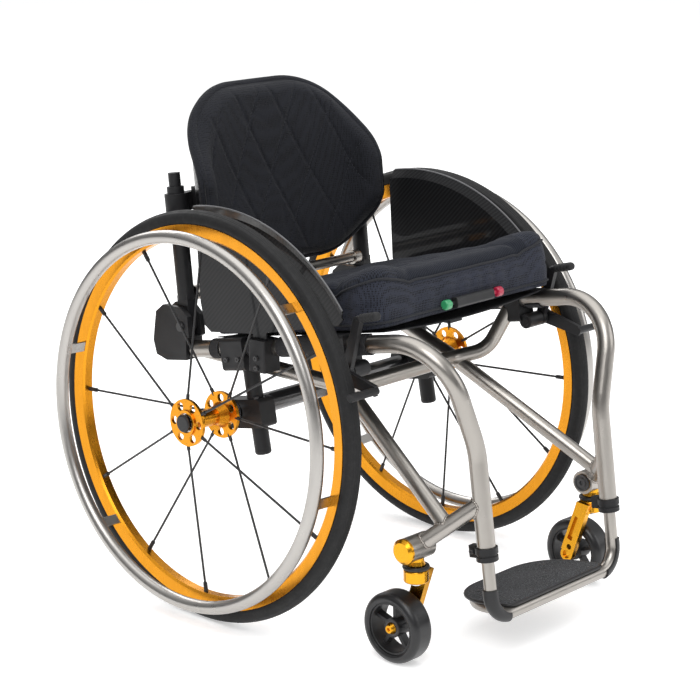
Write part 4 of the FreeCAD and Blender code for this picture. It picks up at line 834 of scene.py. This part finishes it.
def make_back_stitches():
    """Rows of thread along the pinched seams."""
    parts = []
    for direction in (-1, 1):
        for row in range(-4, 5):
            for step in range(-60, 61):
                y = step * STITCH_PITCH
                x = (row - direction * y / DIAMOND_UP) * DIAMOND_ACROSS
                if edge_distance(np.array(x), np.array(y)) < STITCH_MARGIN:
                    continue
                ends = []
                for shift in (-STITCH_HALF, 0.0, STITCH_HALF):
                    along_x = x - direction * shift * DIAMOND_ACROSS / DIAMOND_UP
                    along_y = y + shift
                    depth = float(pad_thickness(np.array(along_x), np.array(along_y)))
                    lift = 0.35 if shift == 0.0 else -0.1
                    ends.append(pad_surface(along_x, along_y, depth + lift))
                parts.append(tube_along(ends, 0.42 * MM, False, 6))
    vertices, faces = joined(parts)
    add_mesh("back_cushion_stitches", vertices, faces, THREAD, "shell")


make_back_pad()
make_back_stitches()


# ---------------------------------------------------------------- weld beads

def bead(branch_start, branch_end, branch_radius, main_start, main_end, main_radius):
    """The rippled bead where one round tube meets the side of another."""
    start, end = Vector(branch_start), Vector(branch_end)
    line = (end - start).normalized()
    side = line.orthogonal().normalized()
    other = line.cross(side)
    origin = Vector(main_start)
    main = (Vector(main_end) - origin).normalized()
    path, radii = [], []
    steps = 110
    for step in range(steps):
        angle = 2 * math.pi * step / steps
        point = start + (side * math.cos(angle) + other * math.sin(angle)) * branch_radius
        gap = point - origin
        gap -= main * gap.dot(main)
        run = line - main * line.dot(main)
        a, b, c = run.dot(run), 2 * run.dot(gap), gap.dot(gap) - main_radius ** 2
        root = max(b * b - 4 * a * c, 0.0)
        path.append(point + line * ((-b - math.sqrt(root)) / (2 * a)))
        radii.append((1.75 + 0.35 * math.sin(angle * 26)) * MM)
    return tube_along(path, radii, True, 8)


def make_welds():
    """Beads where the lower tubes, the wings, the caster sleeves and the side tubes meet."""
    sleeve = (196.7, -347.0, 167.0)
    wing_top = (137.3, -413.0, 228.0)
    wing_joint = tuple(top + (end - top) * 0.53 for top, end in zip(wing_top, sleeve))
    front_tube = ((137.3, -404.4, 301.4), (137.3, -421, 160))
    sleeve_axis = ((170, -347, 167), (220, -347, 167))
    seat_tube = ((188.5, 84, 373.5), (186.3, -387.7, 452.9))
    joints = (
        ((115, -147, 340), wing_joint, (wing_top, sleeve), LOWER_TUBE),
        (sleeve, wing_top, front_tube, FRAME_TUBE),
        (wing_top, sleeve, sleeve_axis, CASTER_SLEEVE),
        ((157, -182, 347), (187.2, -208.5, 420.5), seat_tube, FRAME_TUBE),
    )
    parts = []
    for start, end, main, main_radius in joints:
        for side in SIDES.values():
            ends = [axle_point(point[0] * side, point[1], point[2]) for point in (start, end, *main)]
            parts.append(bead(ends[0], ends[1], LOWER_TUBE * MM, ends[2], ends[3], main_radius * MM))
    vertices, faces = joined(parts)
    add_mesh("weld_beads", vertices, faces, WELD, "chair")


make_welds()


# ---------------------------------------------------------------- trim, painted highlight strips and small parts

GUARD_EDGE_X, GUARD_EDGE_ARC = 213.9, 298.2


def make_guard_highlight_strips():
    """A pale strip along each side guard's flared top: a painted highlight of its edge, not a moulded part.
    """
    for label, side in SIDES.items():
        path = []
        for step in range(90):
            angle = math.radians(37.5 + 62.0 * step / 89)
            path.append(axle_point(side * GUARD_EDGE_X, -GUARD_EDGE_ARC * math.cos(angle),
                                   HUB.z / MM + GUARD_EDGE_ARC * math.sin(angle)))
        vertices, faces = tube_along(path, 1.35 * MM, False, 10)
        # pale grey tube along the guard's top edge: a painted highlight
        add_mesh("guard_highlight_strip_" + label, vertices, faces, GUARD_HIGHLIGHT, "guard_" + label)


def make_brake_grips():
    """A rubber grip with four ribs on each brake lever."""
    for label, side in SIDES.items():
        start = axle_point(side * 210.8, -262, 471)
        line = Vector((0, -1, 0.24)).normalized()
        profile = [(4.65, 6.0), (5.9, 6.6)]
        for ring in range(4):
            height = 9.0 + ring * 6.0
            profile += [(6.1, height), (6.2, height + 1.2), (5.5, height + 1.9), (5.5, height + 2.8),
                        (6.2, height + 3.5)]
        profile += [(6.1, 35.0), (5.4, 37.6), (3.8, 39.4), (1.6, 40.1), (0.1, 40.2), (0.1, 37.9), (2.9, 37.5),
                    (4.65, 34.3)]
        vertices, faces = turned(profile, start, line)
        add_mesh("brake_grip_" + label, vertices, faces, GRIP_RUBBER, "lever_" + label)


FOOT_ORIGIN = axle_point(0, -431.918, 67)
FOOT_TILT = math.radians(7)
PLATE_FRONT, PLATE_TOP = -6.0, 12.72


def foot_point(x, back, up):
    """Millimetres in the footplate's tilted frame, from the hoop's front cross tube."""
    sine, cosine = math.sin(FOOT_TILT), math.cos(FOOT_TILT)
    return FOOT_ORIGIN + Vector((x, back * cosine + up * sine, up * cosine - back * sine)) * MM


def make_footplate_trim():
    """Rubber lip round the footplate and the four screws that hold it to its tube."""
    half, depth, back_corner, front_corner_radius = 106.0, 116.0, 66.0, 14.0
    across_back, across_front = half - back_corner, half - front_corner_radius
    corners = ((across_back, depth - back_corner, back_corner, 0),
               (-across_back, depth - back_corner, back_corner, 90),
               (-across_front, front_corner_radius, front_corner_radius, 180),
               (across_front, front_corner_radius, front_corner_radius, 270))
    path = []
    for cx, cy, radius, first in corners:
        for step in range(25):
            angle = math.radians(first + 90 * step / 24)
            path.append(foot_point(cx + radius * math.cos(angle), PLATE_FRONT + cy + radius * math.sin(angle),
                                   PLATE_TOP - 2.0))
    vertices, faces = tube_along(path, 2.5 * MM, True, 12)
    add_mesh("footplate_lip", vertices, faces, BLACK_PLASTIC, "footrest")
    dome = [(0.1, 0.4), (1.5, 0.4), (1.6, 1.6), (2.6, 1.5), (3.9, 0.9), (4.3, 0.1), (4.3, -0.6), (0.1, -0.6)]
    upright = (0, math.sin(FOOT_TILT), math.cos(FOOT_TILT))
    screws = [turned(dome, foot_point(x, PLATE_FRONT + y, PLATE_TOP), upright, 24)
              for x, y in ((-84, 8), (84, 8), (-70, 84), (70, 84))]
    vertices, faces = joined(screws)
    add_mesh("footplate_screws", vertices, faces, SOCKET_STEEL, "footrest")


make_guard_highlight_strips()
make_brake_grips()
make_footplate_trim()


# ---------------------------------------------------------------- floor, light and camera

def make_floor():
    """A pale matt plane just under the wheels, with a faint glow that keeps it white far out."""
    bpy.ops.mesh.primitive_plane_add(size=80, location=(0, 0, -0.5 * MM))
    floor = bpy.context.object
    floor.name = "floor"
    g = Graph("pale_floor")
    tone = g.blend(g.noise(0.6, 2.0), rgb(0.88, 0.88, 0.88), rgb(0.92, 0.92, 0.92))
    floor.data.materials.append(g.finish(Base_Color=tone, Roughness=0.9, Specular_IOR_Level=0.1,
                                         Emission_Color=rgb(1, 1, 1), Emission_Strength=0.44))


def make_light(name, place, target, size, energy):
    """A soft rectangular lamp turned towards its target."""
    lamp = bpy.data.lights.new(name, "AREA")
    lamp.shape = "RECTANGLE"
    lamp.size, lamp.size_y = size
    lamp.energy = energy
    made = bpy.data.objects.new(name, lamp)
    made.location = place
    made.rotation_mode = "QUATERNION"
    made.rotation_quaternion = (Vector(target) - Vector(place)).to_track_quat("-Z", "Y")
    bpy.context.scene.collection.objects.link(made)


def make_world():
    """Bright overhead and dimmer towards the sides, so that metal has something to reflect.

    The camera itself sees an even white behind the object.
    """
    world = bpy.data.worlds.new("studio")
    bpy.context.scene.world = world
    world.use_nodes = True
    tree = world.node_tree
    place = tree.nodes.new("ShaderNodeTexCoord")
    split = tree.nodes.new("ShaderNodeSeparateXYZ")
    ramp = tree.nodes.new("ShaderNodeValToRGB")
    tree.links.new(place.outputs["Generated"], split.inputs[0])
    tree.links.new(split.outputs[2], ramp.inputs[0])
    stops = ramp.color_ramp.elements
    stops[0].position, stops[0].color = 0.0, rgb(0.13, 0.13, 0.135)
    stops[1].position, stops[1].color = 0.9, rgb(1.0, 1.0, 1.0)
    middle = stops.new(0.35)
    middle.color = rgb(0.40, 0.40, 0.41)
    background = tree.nodes["Background"]
    tree.links.new(ramp.outputs[0], background.inputs[0])
    background.inputs[1].default_value = 0.85
    backdrop = tree.nodes.new("ShaderNodeBackground")
    backdrop.inputs[0].default_value = rgb(1.0, 1.0, 1.0)
    seen = tree.nodes.new("ShaderNodeLightPath")
    mix = tree.nodes.new("ShaderNodeMixShader")
    tree.links.new(seen.outputs["Is Camera Ray"], mix.inputs[0])
    tree.links.new(background.outputs[0], mix.inputs[1])
    tree.links.new(backdrop.outputs[0], mix.inputs[2])
    tree.links.new(mix.outputs[0], tree.nodes["World Output"].inputs[0])


CAMERA_PLACE = Vector((-2.105, -2.036 + AXLE_Y, 1.0615))
CAMERA_ANGLES = (-46.63, 13.70, -1.176)
SENSOR_WIDTH, FOCAL_LENGTH = 36.0, 103.1966


def make_camera():
    """A long lens from the front right, aimed by azimuth, elevation and roll in degrees."""
    camera = bpy.data.objects.new("camera", bpy.data.cameras.new("camera"))
    azimuth, elevation, roll = (math.radians(angle) for angle in CAMERA_ANGLES)
    back = Vector((math.sin(azimuth) * math.cos(elevation), -math.cos(azimuth) * math.cos(elevation),
                   math.sin(elevation)))
    right = Vector((0, 0, 1)).cross(back).normalized()
    up = back.cross(right)
    right, up = (right * math.cos(roll) + up * math.sin(roll), up * math.cos(roll) - right * math.sin(roll))
    turn = Matrix((right, up, back)).transposed().to_4x4()
    camera.matrix_world = Matrix.Translation(CAMERA_PLACE) @ turn
    camera.data.sensor_width = SENSOR_WIDTH
    camera.data.lens = FOCAL_LENGTH
    camera.data.clip_end = 200.0
    bpy.context.scene.collection.objects.link(camera)
    bpy.context.scene.camera = camera


make_floor()
make_world()
make_light("key", (-2.6, -1.8, 3.2), (0, 0, 0.3), (2.4, 2.4), 75)
make_light("fill", (2.2, -3.0, 1.8), (0, 0, 0.3), (2.6, 2.0), 32)
make_light("rim", (1.2, 3.2, 2.6), (0, 0, 0.4), (3.0, 1.4), 55)
make_light("top", (0, 0, 4.2), (0, 0, 0), (5.0, 5.0), 90)
make_camera()
bpy.context.scene.view_settings.view_transform = "Standard"
